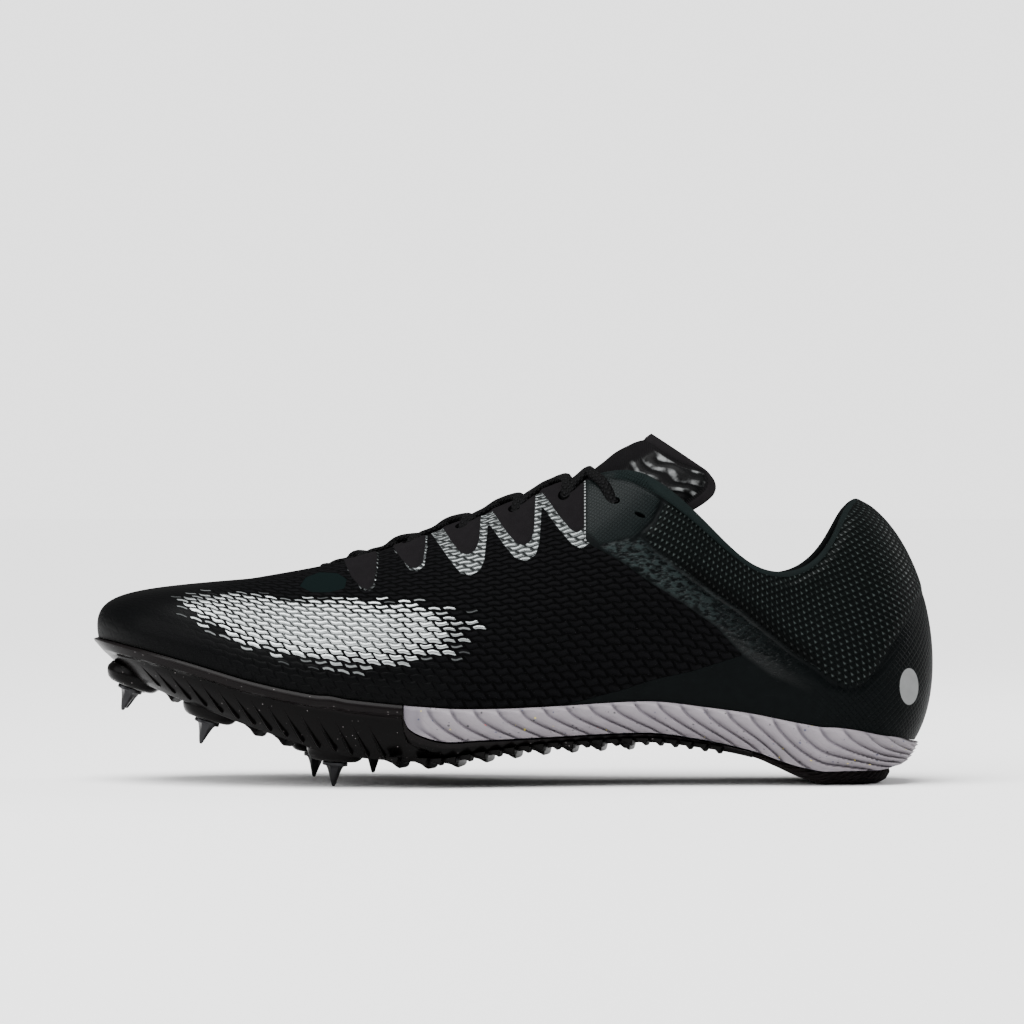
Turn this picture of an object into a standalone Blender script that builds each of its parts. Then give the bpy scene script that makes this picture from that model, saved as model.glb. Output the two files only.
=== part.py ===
"""Track spike shoe for the left foot: a forefoot spike plate, a ribbed foam midsole, a heel pad, a hollow upper,
a tongue, an insole, a criss-cross lace and seven spikes. It stands on two spikes and the heel pad.

Metres, +Z up. The toe points to -X and the outer (lateral) side of the foot to -Y.
"along" is a share of the shoe's length, 0 at the toe and 1 at the heel.
"round" goes once round the shoe, 0 at the back of the heel, 0.5 at the toe, the lateral side first.
"""

import math
from collections import namedtuple

import bmesh
import bpy
import numpy as np
from mathutils import Matrix, Vector
from mathutils.bvhtree import BVHTree

# Driving sizes of the shoe
SHOE_LENGTH = 0.285
BALL_WIDTH = 0.095
HEEL_WIDTH = 0.061
COLLAR_HEIGHT = 0.0962
INSTEP_HEIGHT = 0.1055
SOLE_STACK = 0.0190
TOE_SPRING = 0.0325
GAP = 0.0003

# Sizes of the upper
WALL = 0.0020
COLLAR_PAD = 0.0032
COLLAR_ROLL = 0.0009
HEEL_PAD_RELIEF = 0.0012
EYESTAY_RELIEF = 0.0005
MEDIAL_COLLAR_DROP = 0.0008

# Sizes of the spikes and their wells
SPIKE_CONE_LENGTH = 0.0070
SPIKE_BASE_RADIUS = 0.0030
SPIKE_TIP_RADIUS = 0.0005
SPIKE_FLANGE_RADIUS = 0.0043
SPIKE_FLANGE_HEIGHT = 0.0012
SPIKE_SHANK_RADIUS = 0.0022
SPIKE_SHANK_LENGTH = 0.0040
WELL_RADIUS = 0.0068
WELL_HEIGHT = 0.0034
WELL_ROOT = 0.0045

# Sizes of the sole's relief
LUG_HEIGHT = 0.0026
LUG_THICKNESS = 0.0030
RIB_PITCH = 0.0078
RIB_DEPTH = 0.0015

# Sizes of what is inside and on top
INSOLE_THICKNESS = 0.0034
INSOLE_CLEARANCE = 0.0006
TONGUE_THICKNESS = 0.0026
TONGUE_RISE = 0.0125
LACE_WIDTH = 0.0038
LACE_THICKNESS = 0.0021
EYELET_LENGTH = 0.0072
EYELET_WIDTH = 0.0056

# One row for each rib of the upper, from heel to toe. The first and last lie on the shoe's back and toe, the others
# are a pair. foot_ is where the rib leaves the sole, top_ where it meets the collar or throat. Across values are
# shares of the local width, heights of the local height; ball blends the two from the heel's size to the ball's.
# swell and rise place the rib's lower handle, reach and drop its upper one, as shares of the same width and height.
Rib = namedtuple(
    "Rib",
    "ball foot_along foot_lateral foot_medial top_along top_lateral top_medial top_up swell rise reach drop",
)
RIBS = [
    Rib(0.00, 0.980, 0.000, 0.000, 0.913, 0.000, 0.000, 1.000, 0.218, 0.220, 0.380, 0.125),
    Rib(0.00, 0.965, 0.270, 0.262, 0.899, 0.190, 0.190, 0.955, 0.190, 0.240, 0.300, 0.145),
    Rib(0.00, 0.924, 0.434, 0.418, 0.874, 0.350, 0.350, 0.825, 0.115, 0.255, 0.140, 0.180),
    Rib(0.00, 0.866, 0.500, 0.475, 0.836, 0.445, 0.440, 0.738, 0.080, 0.255, 0.065, 0.200),
    Rib(0.00, 0.793, 0.508, 0.467, 0.786, 0.485, 0.475, 0.752, 0.075, 0.255, 0.055, 0.210),
    Rib(0.00, 0.714, 0.516, 0.451, 0.736, 0.475, 0.465, 0.874, 0.075, 0.270, 0.080, 0.230),
    Rib(0.25, 0.634, 0.489, 0.410, 0.690, 0.380, 0.380, 0.978, 0.070, 0.270, 0.135, 0.240),
    Rib(0.50, 0.553, 0.494, 0.410, 0.645, 0.280, 0.285, 1.033, 0.068, 0.260, 0.180, 0.220),
    Rib(0.80, 0.472, 0.493, 0.431, 0.600, 0.182, 0.200, 1.008, 0.062, 0.230, 0.225, 0.180),
    Rib(1.00, 0.392, 0.495, 0.468, 0.545, 0.126, 0.158, 0.946, 0.060, 0.205, 0.250, 0.140),
    Rib(1.00, 0.312, 0.500, 0.500, 0.480, 0.103, 0.140, 0.876, 0.060, 0.190, 0.265, 0.105),
    Rib(1.00, 0.235, 0.467, 0.489, 0.415, 0.084, 0.126, 0.811, 0.058, 0.180, 0.280, 0.078),
    Rib(1.00, 0.158, 0.392, 0.450, 0.355, 0.062, 0.110, 0.749, 0.054, 0.165, 0.330, 0.056),
    Rib(1.00, 0.086, 0.283, 0.385, 0.309, 0.040, 0.091, 0.708, 0.048, 0.165, 0.440, 0.050),
    Rib(1.00, 0.032, 0.128, 0.285, 0.281, 0.012, 0.065, 0.683, 0.040, 0.168, 0.590, 0.054),
    Rib(1.00, 0.001, -0.105, 0.105, 0.272, -0.030, 0.030, 0.676, 0.034, 0.170, 0.680, 0.055),
]
TOE_RIB = len(RIBS) - 1
RIB_COUNT = 2 * TOE_RIB

# One row for each station of the sole. clear is a share of the ground clearance and lift of the toe spring; they
# give the underside. split, the joint of outsole and foam, and top, the joint with the upper, are shares of the
# sole stack above it.
Station = namedtuple("Station", "along clear lift split top")
STATIONS = [
    Station(0.000, 1.00, 1.000, 0.24, 0.240),
    Station(0.030, 1.00, 0.800, 0.51, 0.510),
    Station(0.067, 1.00, 0.655, 0.64, 0.640),
    Station(0.127, 1.00, 0.455, 0.75, 0.750),
    Station(0.187, 1.00, 0.270, 0.81, 0.810),
    Station(0.247, 1.00, 0.095, 0.91, 0.910),
    Station(0.280, 1.00, 0.012, 0.98, 0.985),
    Station(0.310, 0.88, 0.000, 1.00, 1.010),
    Station(0.368, 0.75, 0.000, 0.99, 1.000),
    Station(0.372, 0.745, 0.000, 0.80, 0.998),
    Station(0.378, 0.74, 0.000, 0.60, 0.990),
    Station(0.392, 0.73, 0.000, 0.47, 0.980),
    Station(0.415, 0.72, 0.000, 0.37, 0.960),
    Station(0.463, 0.88, 0.000, 0.28, 0.840),
    Station(0.510, 1.03, 0.000, 0.21, 0.760),
    Station(0.560, 1.14, 0.000, 0.17, 0.725),
    Station(0.655, 1.23, 0.000, 0.165, 0.735),
    Station(0.727, 1.05, 0.000, 0.14, 0.740),
    Station(0.785, 0.77, 0.000, 0.11, 0.790),
    Station(0.810, 0.52, 0.000, 0.13, 0.870),
    Station(0.840, 0.20, 0.000, 0.19, 0.980),
    Station(0.870, 0.00, 0.000, 0.24, 1.040),
    Station(0.930, 0.00, 0.000, 0.25, 0.900),
    Station(0.955, 0.13, 0.000, 0.24, 0.757),
    Station(0.975, 0.45, 0.000, 0.16, 0.480),
    Station(0.985, 0.80, 0.000, 0.12, 0.260),
]
FOAM_FRONT = 0.3715
PLATE_END = 0.782
PLATE_STEP_ALONG = (0.3655, 0.3710, 0.3722, 0.3780, 0.3860, 0.3960, 0.4100)
PAD_FRONT = 0.798
PAD_BACK = 0.964

# The side of the sole: how far it stands out from the upper's outline at shares of its height, as shares of the
# sole stack.
Side = namedtuple("Side", "height plate foam")
SIDES = [
    Side(1.00, 0.03, 0.03),
    Side(0.93, 0.080, 0.075),
    Side(0.80, 0.070, 0.090),
    Side(0.55, 0.02, 0.040),
    Side(0.30, -0.08, -0.110),
    Side(0.14, -0.17, -0.220),
    Side(0.00, -0.30, -0.430),
]

# Spikes: along, and across as a share of the local half width, lateral side negative. tip_up is the tip's height
# above the floor, None where the spike follows the sole. A sunk spike sits in a round recess, the others on a boss.
Spike = namedtuple("Spike", "name along across tip_up sunk")
SPIKES = [
    Spike("spike_toe_lateral", 0.047, -0.28, None, False),
    Spike("spike_toe_medial", 0.047, 0.44, None, False),
    Spike("spike_fore_lateral", 0.142, -0.52, None, False),
    Spike("spike_fore_medial", 0.138, 0.55, None, False),
    Spike("spike_ball_medial", 0.262, 0.60, 0.0, False),
    Spike("spike_ball_lateral", 0.292, -0.62, 0.0, False),
    Spike("spike_ball_rear", 0.334, 0.02, 0.0030, True),
]

# Eyelets from the toe to the collar: where on the throat or collar line the eyelet hangs, and how far below it.
Eyelet = namedtuple("Eyelet", "along below")
EYELETS = [
    Eyelet(0.296, 0.0052),
    Eyelet(0.338, 0.0066),
    Eyelet(0.398, 0.0070),
    Eyelet(0.459, 0.0072),
    Eyelet(0.520, 0.0074),
    Eyelet(0.577, 0.0076),
    Eyelet(0.634, 0.0112),
]
SPARE_EYELET = Eyelet(0.662, 0.0125)
LAST_EDGE_ALONG = 0.596
BAR_ALONG = 0.2815
LACE_STEP_AHEAD = 0.0105
LACE_STEP_BEHIND = 0.0063

# One row for each cross row of the tongue. half is a share of the throat's half width there, sweep a share of the
# shoe's length by which its sides lie further back, and sag a share of the tongue's rise by which they lie lower.
# lift is a share of the same rise, by which the middle stands above the throat's top.
TongueRow = namedtuple("TongueRow", "along half sweep sag lift")
TONGUE_IN_THROAT = [
    TongueRow(0.250, 1.05, 0.000, 0.0, 0.0),
    TongueRow(0.285, 1.60, 0.000, 0.0, 0.0),
    TongueRow(0.330, 1.70, 0.000, 0.0, 0.0),
    TongueRow(0.380, 1.70, 0.000, 0.0, 0.0),
    TongueRow(0.430, 1.65, 0.000, 0.0, 0.0),
    TongueRow(0.480, 1.55, 0.002, 0.0, 0.0),
    TongueRow(0.525, 1.35, 0.010, 0.0, 0.0),
    TongueRow(0.560, 1.08, 0.030, 0.0, 0.0),
]
TONGUE_FREE = [
    TongueRow(0.590, 0.70, 0.072, 1.24, -0.06),
    TongueRow(0.6065, 0.74, 0.084, 1.46, 0.30),
    TongueRow(0.6235, 0.79, 0.089, 1.54, 0.62),
    TongueRow(0.641, 0.83, 0.088, 1.50, 0.83),
    TongueRow(0.655, 0.85, 0.085, 1.38, 0.99),
    TongueRow(0.6655, 0.87, 0.078, 1.24, 1.15),
]
TONGUE_BEND = 1.5

# Numbers of facets
ROUND_STEPS = 60
WALL_ROWS = (0.0, 0.10, 0.21, 0.33, 0.45, 0.57, 0.68, 0.78, 0.86, 0.915, 0.94, 0.962, 1.0)
LINING_ROWS = (1.0, 0.92, 0.80, 0.64, 0.44, 0.22, 0.0)
PLATE_STEPS = 49
FOAM_STEPS = 163
PAD_STEPS = 21
INSOLE_STEPS = 72

# Colours of the real materials: red, green, blue, roughness, metallic
KNIT_BLACK = (0.006, 0.006, 0.007, 0.75, 0.0)
FOAM_LILAC = (0.52, 0.48, 0.51, 0.60, 0.0)
PLATE_BLACK = (0.008, 0.007, 0.008, 0.35, 0.0)
RUBBER_BLACK = (0.015, 0.012, 0.012, 0.60, 0.0)
LACE_BLACK = (0.004, 0.004, 0.005, 0.80, 0.0)
TONGUE_BLACK = (0.010, 0.010, 0.011, 0.70, 0.0)
INSOLE_BLACK = (0.012, 0.012, 0.012, 0.85, 0.0)
SPIKE_STEEL = (0.02, 0.02, 0.022, 0.30, 0.9)


# Curves that the whole shoe shares
def smooth_step(value, start, end):
    share = np.clip((np.asarray(value, float) - start) / (end - start), 0.0, 1.0)
    return share * share * (3 - 2 * share)


def column(rows, name):
    return np.array([getattr(row, name) for row in rows], float)


def smooth_table(places, values, place):
    """A smooth curve through a table's values, which never overshoots between two rows."""
    place = np.clip(np.asarray(place, float), places[0], places[-1])
    widths = np.diff(places)
    slopes = np.diff(values) / widths
    before, after = slopes[:-1], slopes[1:]
    same_way = before * after > 0
    inner = np.where(same_way, 2 * before * after / np.where(same_way, before + after, 1.0), 0.0)
    tangents = np.concatenate([slopes[:1], inner, slopes[-1:]])
    i = np.clip(np.searchsorted(places, place) - 1, 0, len(widths) - 1)
    width = widths[i]
    t = (place - places[i]) / width
    return (
        (1 + 2 * t) * (1 - t) ** 2 * values[i]
        + t * (1 - t) ** 2 * width * tangents[i]
        + t * t * (3 - 2 * t) * values[i + 1]
        + t * t * (t - 1) * width * tangents[i + 1]
    )


def loop_controls(values):
    """Control points of the closed cubic curve that passes through the given values."""
    one = np.eye(len(values))
    return np.linalg.solve((4 * one + np.roll(one, 1, 0) + np.roll(one, -1, 0)) / 6, values)


def loop_at(controls, round_share):
    count = len(controls)
    place = (np.asarray(round_share, float) % 1.0) * count
    i = np.floor(place).astype(int)
    f = (place - i)[..., None]
    weights = (
        (1 - f) ** 3,
        3 * f**3 - 6 * f**2 + 4,
        -3 * f**3 + 3 * f**2 + 3 * f + 1,
        f**3,
    )
    return sum(weight / 6 * controls[(i + k - 1) % count] for k, weight in enumerate(weights))


def x_of(along):
    return (np.asarray(along, float) - 0.5) * SHOE_LENGTH


def along_of(x):
    return np.asarray(x, float) / SHOE_LENGTH + 0.5


# The sole's heights
SPIKE_REACH = SPIKE_FLANGE_HEIGHT + SPIKE_CONE_LENGTH + GAP
GROUND_CLEARANCE = SPIKE_REACH + WELL_HEIGHT
STATION_ALONG = column(STATIONS, "along")


def station_value(name, along):
    return smooth_table(STATION_ALONG, column(STATIONS, name), along)


def sole_under(along):
    return station_value("clear", along) * GROUND_CLEARANCE + station_value("lift", along) * TOE_SPRING


def sole_split(along):
    return sole_under(along) + station_value("split", along) * SOLE_STACK


def sole_top(along):
    return sole_under(along) + station_value("top", along) * SOLE_STACK


# The upper's own surface
def rib_loop():
    """Each rib's numbers in metres, once round the shoe: foot x and y, top x, y and z, and its two handles."""
    rows = []
    for i in range(RIB_COUNT):
        lateral = i <= TOE_RIB
        rib = RIBS[i if lateral else RIB_COUNT - i]
        width = HEEL_WIDTH + (BALL_WIDTH - HEEL_WIDTH) * rib.ball
        height = COLLAR_HEIGHT + (INSTEP_HEIGHT - COLLAR_HEIGHT) * rib.ball
        foot_y = -rib.foot_lateral if lateral else rib.foot_medial
        top_y = -rib.top_lateral if lateral else rib.top_medial
        collar = 0.0 if lateral else math.exp(-(((rib.top_along - 0.80) / 0.07) ** 2))
        rows.append(
            (
                x_of(rib.foot_along),
                foot_y * width,
                x_of(rib.top_along),
                top_y * width,
                rib.top_up * height - collar * MEDIAL_COLLAR_DROP,
                rib.swell * width,
                rib.rise * height,
                rib.reach * width,
                rib.drop * height,
            )
        )
    return np.array(rows, float)


RIB_CONTROLS = loop_controls(rib_loop())
HANDLE_TURN = 0.18 * BALL_WIDTH
STEP = 1e-4
STEP_CLEAR = 0.004


def foot_and_normal(round_share):
    """The upper's lower edge in plan, and the outward normal there."""
    foot = loop_at(RIB_CONTROLS, round_share)[..., :2]
    ahead = loop_at(RIB_CONTROLS, np.asarray(round_share) + STEP)[..., :2]
    behind = loop_at(RIB_CONTROLS, np.asarray(round_share) - STEP)[..., :2]
    way = ahead - behind
    way /= np.linalg.norm(way, axis=-1, keepdims=True)
    return foot, np.stack([-way[..., 1], way[..., 0]], -1)


def bare_wall(round_share, up):
    """The upper's outer surface before any relief. up goes from 0 at the sole to 1 at the collar or throat."""
    rib = loop_at(RIB_CONTROLS, round_share)
    foot, normal = foot_and_normal(round_share)
    top = rib[..., 2:4]
    way = foot - top + normal * HANDLE_TURN
    way /= np.linalg.norm(way, axis=-1, keepdims=True)
    foot_z = sole_top(along_of(foot[..., 0])) + GAP
    low = foot + normal * rib[..., 5:6]
    high = top + way * rib[..., 7:8]
    points = [
        np.concatenate([foot, foot_z[..., None]], -1),
        np.concatenate([low, (foot_z + rib[..., 6])[..., None]], -1),
        np.concatenate([high, (rib[..., 4] - rib[..., 8])[..., None]], -1),
        rib[..., 2:5],
    ]
    t = np.asarray(up, float)[..., None]
    return (
        points[0] * (1 - t) ** 3
        + points[1] * 3 * t * (1 - t) ** 2
        + points[2] * 3 * t * t * (1 - t)
        + points[3] * t**3
    )


def wall_normal(round_share, up):
    round_share, up = np.broadcast_arrays(np.asarray(round_share, float), np.asarray(up, float))
    low, high = np.clip(up - 0.01, 0, 1), np.clip(up + 0.01, 0, 1)
    along_rib = bare_wall(round_share, high) - bare_wall(round_share, low)
    around = bare_wall(round_share + STEP, up) - bare_wall(round_share - STEP, up)
    normal = np.cross(along_rib, around)
    return normal / np.linalg.norm(normal, axis=-1, keepdims=True)


def collar_share(round_share):
    """1 at the ribs that end on the collar, 0 at those that end on the throat."""
    from_heel = np.abs((np.asarray(round_share, float) + 0.5) % 1.0 - 0.5) * RIB_COUNT
    return 1 - smooth_step(from_heel, 6.6, 8.4)


def relief(round_share, up):
    """Steps in the wall's outer face: the rolled edge of the collar and the padded heel quarter."""
    up = np.asarray(up, float)
    roll = smooth_step(up, 0.94, 0.962) * collar_share(round_share)
    from_heel = np.abs((np.asarray(round_share, float) + 0.5) % 1.0 - 0.5) * RIB_COUNT
    pad_floor = 0.30 + 0.62 * smooth_step(from_heel, 2.0, 7.2)
    pad = smooth_step(up, pad_floor, pad_floor + 0.12) * (1 - smooth_step(up, 0.86, 0.94))
    quarter = HEEL_PAD_RELIEF * pad * (1 - smooth_step(from_heel, 5.8, 7.4))
    eyestay = EYESTAY_RELIEF * smooth_step(up, 0.78, 0.86) * smooth_step(from_heel, 7.0, 8.0)
    return COLLAR_ROLL * roll + quarter + eyestay * (1 - smooth_step(from_heel, 13.6, 14.6))


def wall_thickness(round_share, up):
    return WALL + COLLAR_PAD * collar_share(round_share) * smooth_step(up, 0.40, 0.82)


def outer_wall(round_share, up, above=0.0):
    face = bare_wall(round_share, up)
    return face + wall_normal(round_share, up) * (relief(round_share, up) + above)[..., None]


def inner_wall(round_share, up, below=0.0):
    face = bare_wall(round_share, up)
    return face - wall_normal(round_share, up) * (wall_thickness(round_share, up) + below)[..., None]


def round_at_top(along, side):
    """Where round the shoe the collar or throat line reaches this share of the length. side is -1 or +1."""
    shares = np.linspace(0.0, 0.5, 601)
    tops = along_of(loop_at(RIB_CONTROLS, shares)[:, 2])
    share = np.interp(-along, -tops, shares)
    return share if side < 0 else 1.0 - share


def round_at_foot(along):
    """The same on the lateral side, for the line where the upper meets the sole."""
    shares = np.linspace(0.0, 0.5, 601)
    feet = along_of(loop_at(RIB_CONTROLS, shares)[:, 0])
    return np.interp(-along, -feet, shares)


def up_below_top(round_share, distance):
    """The height share on a rib that lies this far down from its upper end."""
    shares = np.linspace(1.0, 0.3, 141)
    face = bare_wall(np.full(len(shares), round_share), shares)
    walked = np.concatenate([[0], np.cumsum(np.linalg.norm(np.diff(face, axis=0), axis=1))])
    return float(np.interp(distance, walked, shares))


# Blender helpers
def material(name, look):
    made = bpy.data.materials.new(name)
    made.use_nodes = True
    shader = made.node_tree.nodes["Principled BSDF"]
    shader.inputs["Base Color"].default_value = (*look[:3], 1.0)
    shader.inputs["Roughness"].default_value = look[3]
    shader.inputs["Metallic"].default_value = look[4]
    return made


def new_collection(name):
    made = bpy.data.collections.new(name)
    bpy.context.scene.collection.children.link(made)
    return made


def mesh_object(name, bm, collection, finish=None, smooth_angle=math.radians(40)):
    bmesh.ops.recalc_face_normals(bm, faces=bm.faces)
    mesh = bpy.data.meshes.new(name)
    bm.to_mesh(mesh)
    bm.free()
    mesh.shade_smooth()
    mesh.set_sharp_from_angle(angle=smooth_angle)
    made = bpy.data.objects.new(name, mesh)
    collection.objects.link(made)
    if finish:
        mesh.materials.append(finish)
    return made


def cutter_object(name, bm, collection):
    made = mesh_object(name, bm, collection)
    made.hide_render = True
    made.display_type = "WIRE"
    return made


def add_boolean(target, other, operation, crosses_itself=False):
    step = target.modifiers.new(f"{operation.lower()} {other.name}", "BOOLEAN")
    step.operation = operation
    step.object = other
    step.solver = "EXACT"
    step.use_self = crosses_itself


def ring_of_rings(rings):
    """A closed wall through closed rings of points, the last ring joined to the first."""
    bm = bmesh.new()
    grid = [[bm.verts.new(point) for point in ring] for ring in rings]
    for r, ring in enumerate(grid):
        after = grid[(r + 1) % len(grid)]
        for i in range(len(ring)):
            j = (i + 1) % len(ring)
            bm.faces.new((ring[i], ring[j], after[j], after[i]))
    return bm


def fill_across(bm, rim, crossings, height, skip_ends):
    """Fills a ring of the sole with rows across it, from each lateral point to its medial partner.

    height(x, y, share) gives the z of a point between them. skip_ends counts the ring's ends that are one point.
    """
    count = len(rim)
    closed = skip_ends == 2
    partner = (lambda i: (count - i) % count) if closed else (lambda i: count - 1 - i)
    last = count // 2
    rows = []
    for i in range(last + 1):
        a, b = rim[i], rim[partner(i)]
        if a is b:
            rows.append([a])
            continue
        row = [a]
        for k in range(1, crossings):
            share = k / crossings
            x = a.co.x + (b.co.x - a.co.x) * share
            y = a.co.y + (b.co.y - a.co.y) * share
            row.append(bm.verts.new((x, y, height(x, y, share, a.co.z, b.co.z))))
        row.append(b)
        rows.append(row)
    for one, two in zip(rows, rows[1:]):
        if len(one) == 1 or len(two) == 1:
            tip, edge = (one[0], two) if len(one) == 1 else (two[0], one)
            for p, q in zip(edge, edge[1:]):
                bm.faces.new((tip, p, q))
        else:
            for k in range(len(one) - 1):
                bm.faces.new((one[k], one[k + 1], two[k + 1], two[k]))
    return rows


def level_height(x, y, share, left, right):
    return left + (right - left) * share


def sole_body(levels, top_crossings, bottom_crossings, top_height=level_height, bottom_height=level_height):
    """A closed solid through open U-shaped levels, filled across at the first and the last and capped at its ends."""
    bm = bmesh.new()
    grid = [[bm.verts.new(point) for point in level] for level in levels]
    for upper, lower in zip(grid, grid[1:]):
        for i in range(len(upper) - 1):
            bm.faces.new((upper[i], upper[i + 1], lower[i + 1], lower[i]))
    top_rows = fill_across(bm, grid[0], top_crossings, top_height, 1)
    bottom_rows = fill_across(bm, grid[-1], bottom_crossings, bottom_height, 1)
    lateral = [level[0] for level in grid[1:-1]]
    medial = [level[-1] for level in grid[1:-1]]
    bm.faces.new(top_rows[0] + medial + bottom_rows[0][::-1] + lateral[::-1])
    return bm


# The sole
def side_offset(height, kind):
    places = column(SIDES, "height")[::-1]
    return smooth_table(places, column(SIDES, kind)[::-1], height) * SOLE_STACK


def sole_point(round_share, height, offset, floor=sole_under):
    """A point on the sole's side: height is the share between its underside and its top."""
    foot, normal = foot_and_normal(round_share)
    plan = foot + normal * np.asarray(offset)[..., None]
    low = floor(along_of(plan[..., 0]))
    high = sole_top(along_of(foot[..., 0]))
    z = low + (high - low) * height
    return np.concatenate([plan, z[..., None]], -1)


def half_width_at(along):
    foot, _ = foot_and_normal(round_at_foot(along))
    mate, _ = foot_and_normal(1.0 - round_at_foot(along))
    return (mate[1] - foot[1]) / 2, (mate[1] + foot[1]) / 2


def plate_top(along):
    return np.where(np.asarray(along) < FOAM_FRONT, sole_top(along), sole_split(along) - GAP)


def plate_seat(x, y, share, left, right):
    return float(plate_top(along_of(x)))


def plate_levels():
    start = round_at_foot(PLATE_END)
    step = [round_at_foot(along) for along in PLATE_STEP_ALONG]
    even = np.linspace(start, 0.5, PLATE_STEPS // 2 + 1)[:-1]
    clear = [share for share in even if min(abs(share - other) for other in step) > STEP_CLEAR]
    half = np.sort(np.array(clear + step))
    shares = np.concatenate([half, [0.5], 1.0 - half[::-1]])
    foot, _ = foot_and_normal(shares)
    along = along_of(foot[:, 0])
    under = sole_under(along)
    crown = (plate_top(along) - under) / (sole_top(along) - under)
    levels = []
    for part in (1.0, 0.93, 0.80, 0.52, 0.26, 0.0):
        height = crown * part
        levels.append(sole_point(shares, height, side_offset(height, "plate")))
    return levels


def plate_under(x, y, share, left, right):
    return float(sole_under(along_of(x)))


def sole_seat(x, y, share, left, right):
    return float(sole_top(along_of(x)))


def spike_axis(spike):
    """The spike's seat on its well and the unit vector from the seat to the tip."""
    slope = float(sole_under(spike.along + 0.012) - sole_under(spike.along - 0.012)) / (0.024 * SHOE_LENGTH)
    lean = math.atan(slope) * (0.85 if spike.tip_up is None else 0.35)
    down = Vector((math.sin(lean), 0.0, -math.cos(lean)))
    half, middle = half_width_at(spike.along)
    base = Vector((float(x_of(spike.along)), middle + half * spike.across, float(sole_under(spike.along))))
    seat = base + down * WELL_HEIGHT
    if spike.tip_up is not None:
        seat.z = spike.tip_up + SPIKE_REACH * math.cos(lean) + SPIKE_TIP_RADIUS * abs(math.sin(lean))
    return seat, down


def frame_at(place, z_way, x_hint=Vector((1, 0, 0))):
    z_way = Vector(z_way).normalized()
    y_way = z_way.cross(x_hint).normalized()
    x_way = y_way.cross(z_way)
    return Matrix.Translation(place) @ Matrix((x_way, y_way, z_way)).transposed().to_4x4()


def add_cylinder(bm, matrix, radius, low, high, sides, top_radius=None):
    """A cylinder or cone along the matrix's z axis, from low to high."""
    bmesh.ops.create_cone(
        bm,
        cap_ends=True,
        segments=sides,
        radius1=radius,
        radius2=radius if top_radius is None else top_radius,
        depth=high - low,
        matrix=matrix @ Matrix.Translation((0, 0, (low + high) / 2)),
    )


def well_towers():
    """A round boss under each spike, its root sunk in the plate and its flat face square to the spike."""
    bm = bmesh.new()
    for spike in SPIKES:
        if not spike.sunk:
            seat, down = spike_axis(spike)
            root = -WELL_ROOT - WELL_HEIGHT
            add_cylinder(bm, frame_at(seat, down), WELL_RADIUS * 1.45, root, 0.0, 14, WELL_RADIUS)
    return bm


def well_bores():
    bm = bmesh.new()
    for spike in SPIKES:
        seat, down = spike_axis(spike)
        place = frame_at(seat, down)
        add_cylinder(bm, place, SPIKE_SHANK_RADIUS + GAP, -SPIKE_SHANK_LENGTH - 2 * GAP, GAP, 10)
        if spike.sunk:
            add_cylinder(bm, place, WELL_RADIUS * 0.85, 0.0, SPIKE_REACH, 14, WELL_RADIUS)
    return bm


def lug_rows():
    """Fins in slanted pairs under the plate, away from the spikes: along, across and slant of each."""
    spots = []
    for k in range(17):
        along = 0.095 + 0.0335 * k
        half, middle = half_width_at(along)
        for side in (-1, 1):
            for across in (0.24, 0.62):
                spot = Vector((float(x_of(along + 0.010 * across)), middle + side * across * half, 0.0))
                clear = all(
                    (spot.xy - spike_axis(s)[0].xy).length > WELL_RADIUS * 2.2 for s in SPIKES
                )
                if clear:
                    spots.append((spot, side, 0.155 * half))
    return spots


def lugs():
    """Each lug is a wedge, upright on its heel side and sloped on its toe side."""
    bm = bmesh.new()
    for spot, side, half_span in lug_rows():
        root = LUG_THICKNESS * 0.5
        base = float(sole_under(along_of(spot.x)))
        slope = float(sole_under(along_of(spot.x) + 0.01) - base) / (0.01 * SHOE_LENGTH)
        turn = Matrix.Rotation(side * math.radians(14), 4, "Z")
        place = Matrix.Translation((spot.x, spot.y, base)) @ Matrix.Rotation(-math.atan(slope), 4, "Y") @ turn
        profile = ((-LUG_THICKNESS, root), (LUG_THICKNESS * 0.5, root), (LUG_THICKNESS * 0.5, 0.0),
                   (LUG_THICKNESS * 0.25, -LUG_HEIGHT), (-LUG_THICKNESS, -LUG_HEIGHT * 0.12))
        ends = []
        for y, shrink in ((-half_span, 0.75), (half_span, 0.75)):
            ends.append([bm.verts.new(place @ Vector((x, y, z if z > 0 else z * shrink))) for x, z in profile])
        for i in range(len(profile)):
            j = (i + 1) % len(profile)
            bm.faces.new((ends[0][i], ends[0][j], ends[1][j], ends[1][i]))
        bm.faces.new(ends[0])
        bm.faces.new(ends[1])
    return bm


def build_plate(parts, cutters, finish):
    bm = sole_body(plate_levels(), 2, 6, plate_seat, plate_under)
    plate = mesh_object("outsole_plate", bm, parts, finish)
    add_boolean(plate, cutter_object("well_towers", well_towers(), cutters), "UNION", True)
    add_boolean(plate, cutter_object("lug_fins", lugs(), cutters), "UNION")
    add_boolean(plate, cutter_object("well_bores", well_bores(), cutters), "DIFFERENCE", True)
    return plate


def rib_wave(distance, height):
    """The foam's slanted ribs: a soft slope and a sharp step at each groove."""
    slant = (1.15 * (1 - height) + 0.55 * (1 - height) ** 3) * SOLE_STACK * 0.75
    phase = (distance - slant) / RIB_PITCH % 1.0
    soft = np.where(phase < 0.82, 0.5 - phase / 0.82, (phase - 0.82) / 0.18 - 0.5)
    return soft * RIB_DEPTH * smooth_step(height, 0.99, 0.88)


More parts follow.
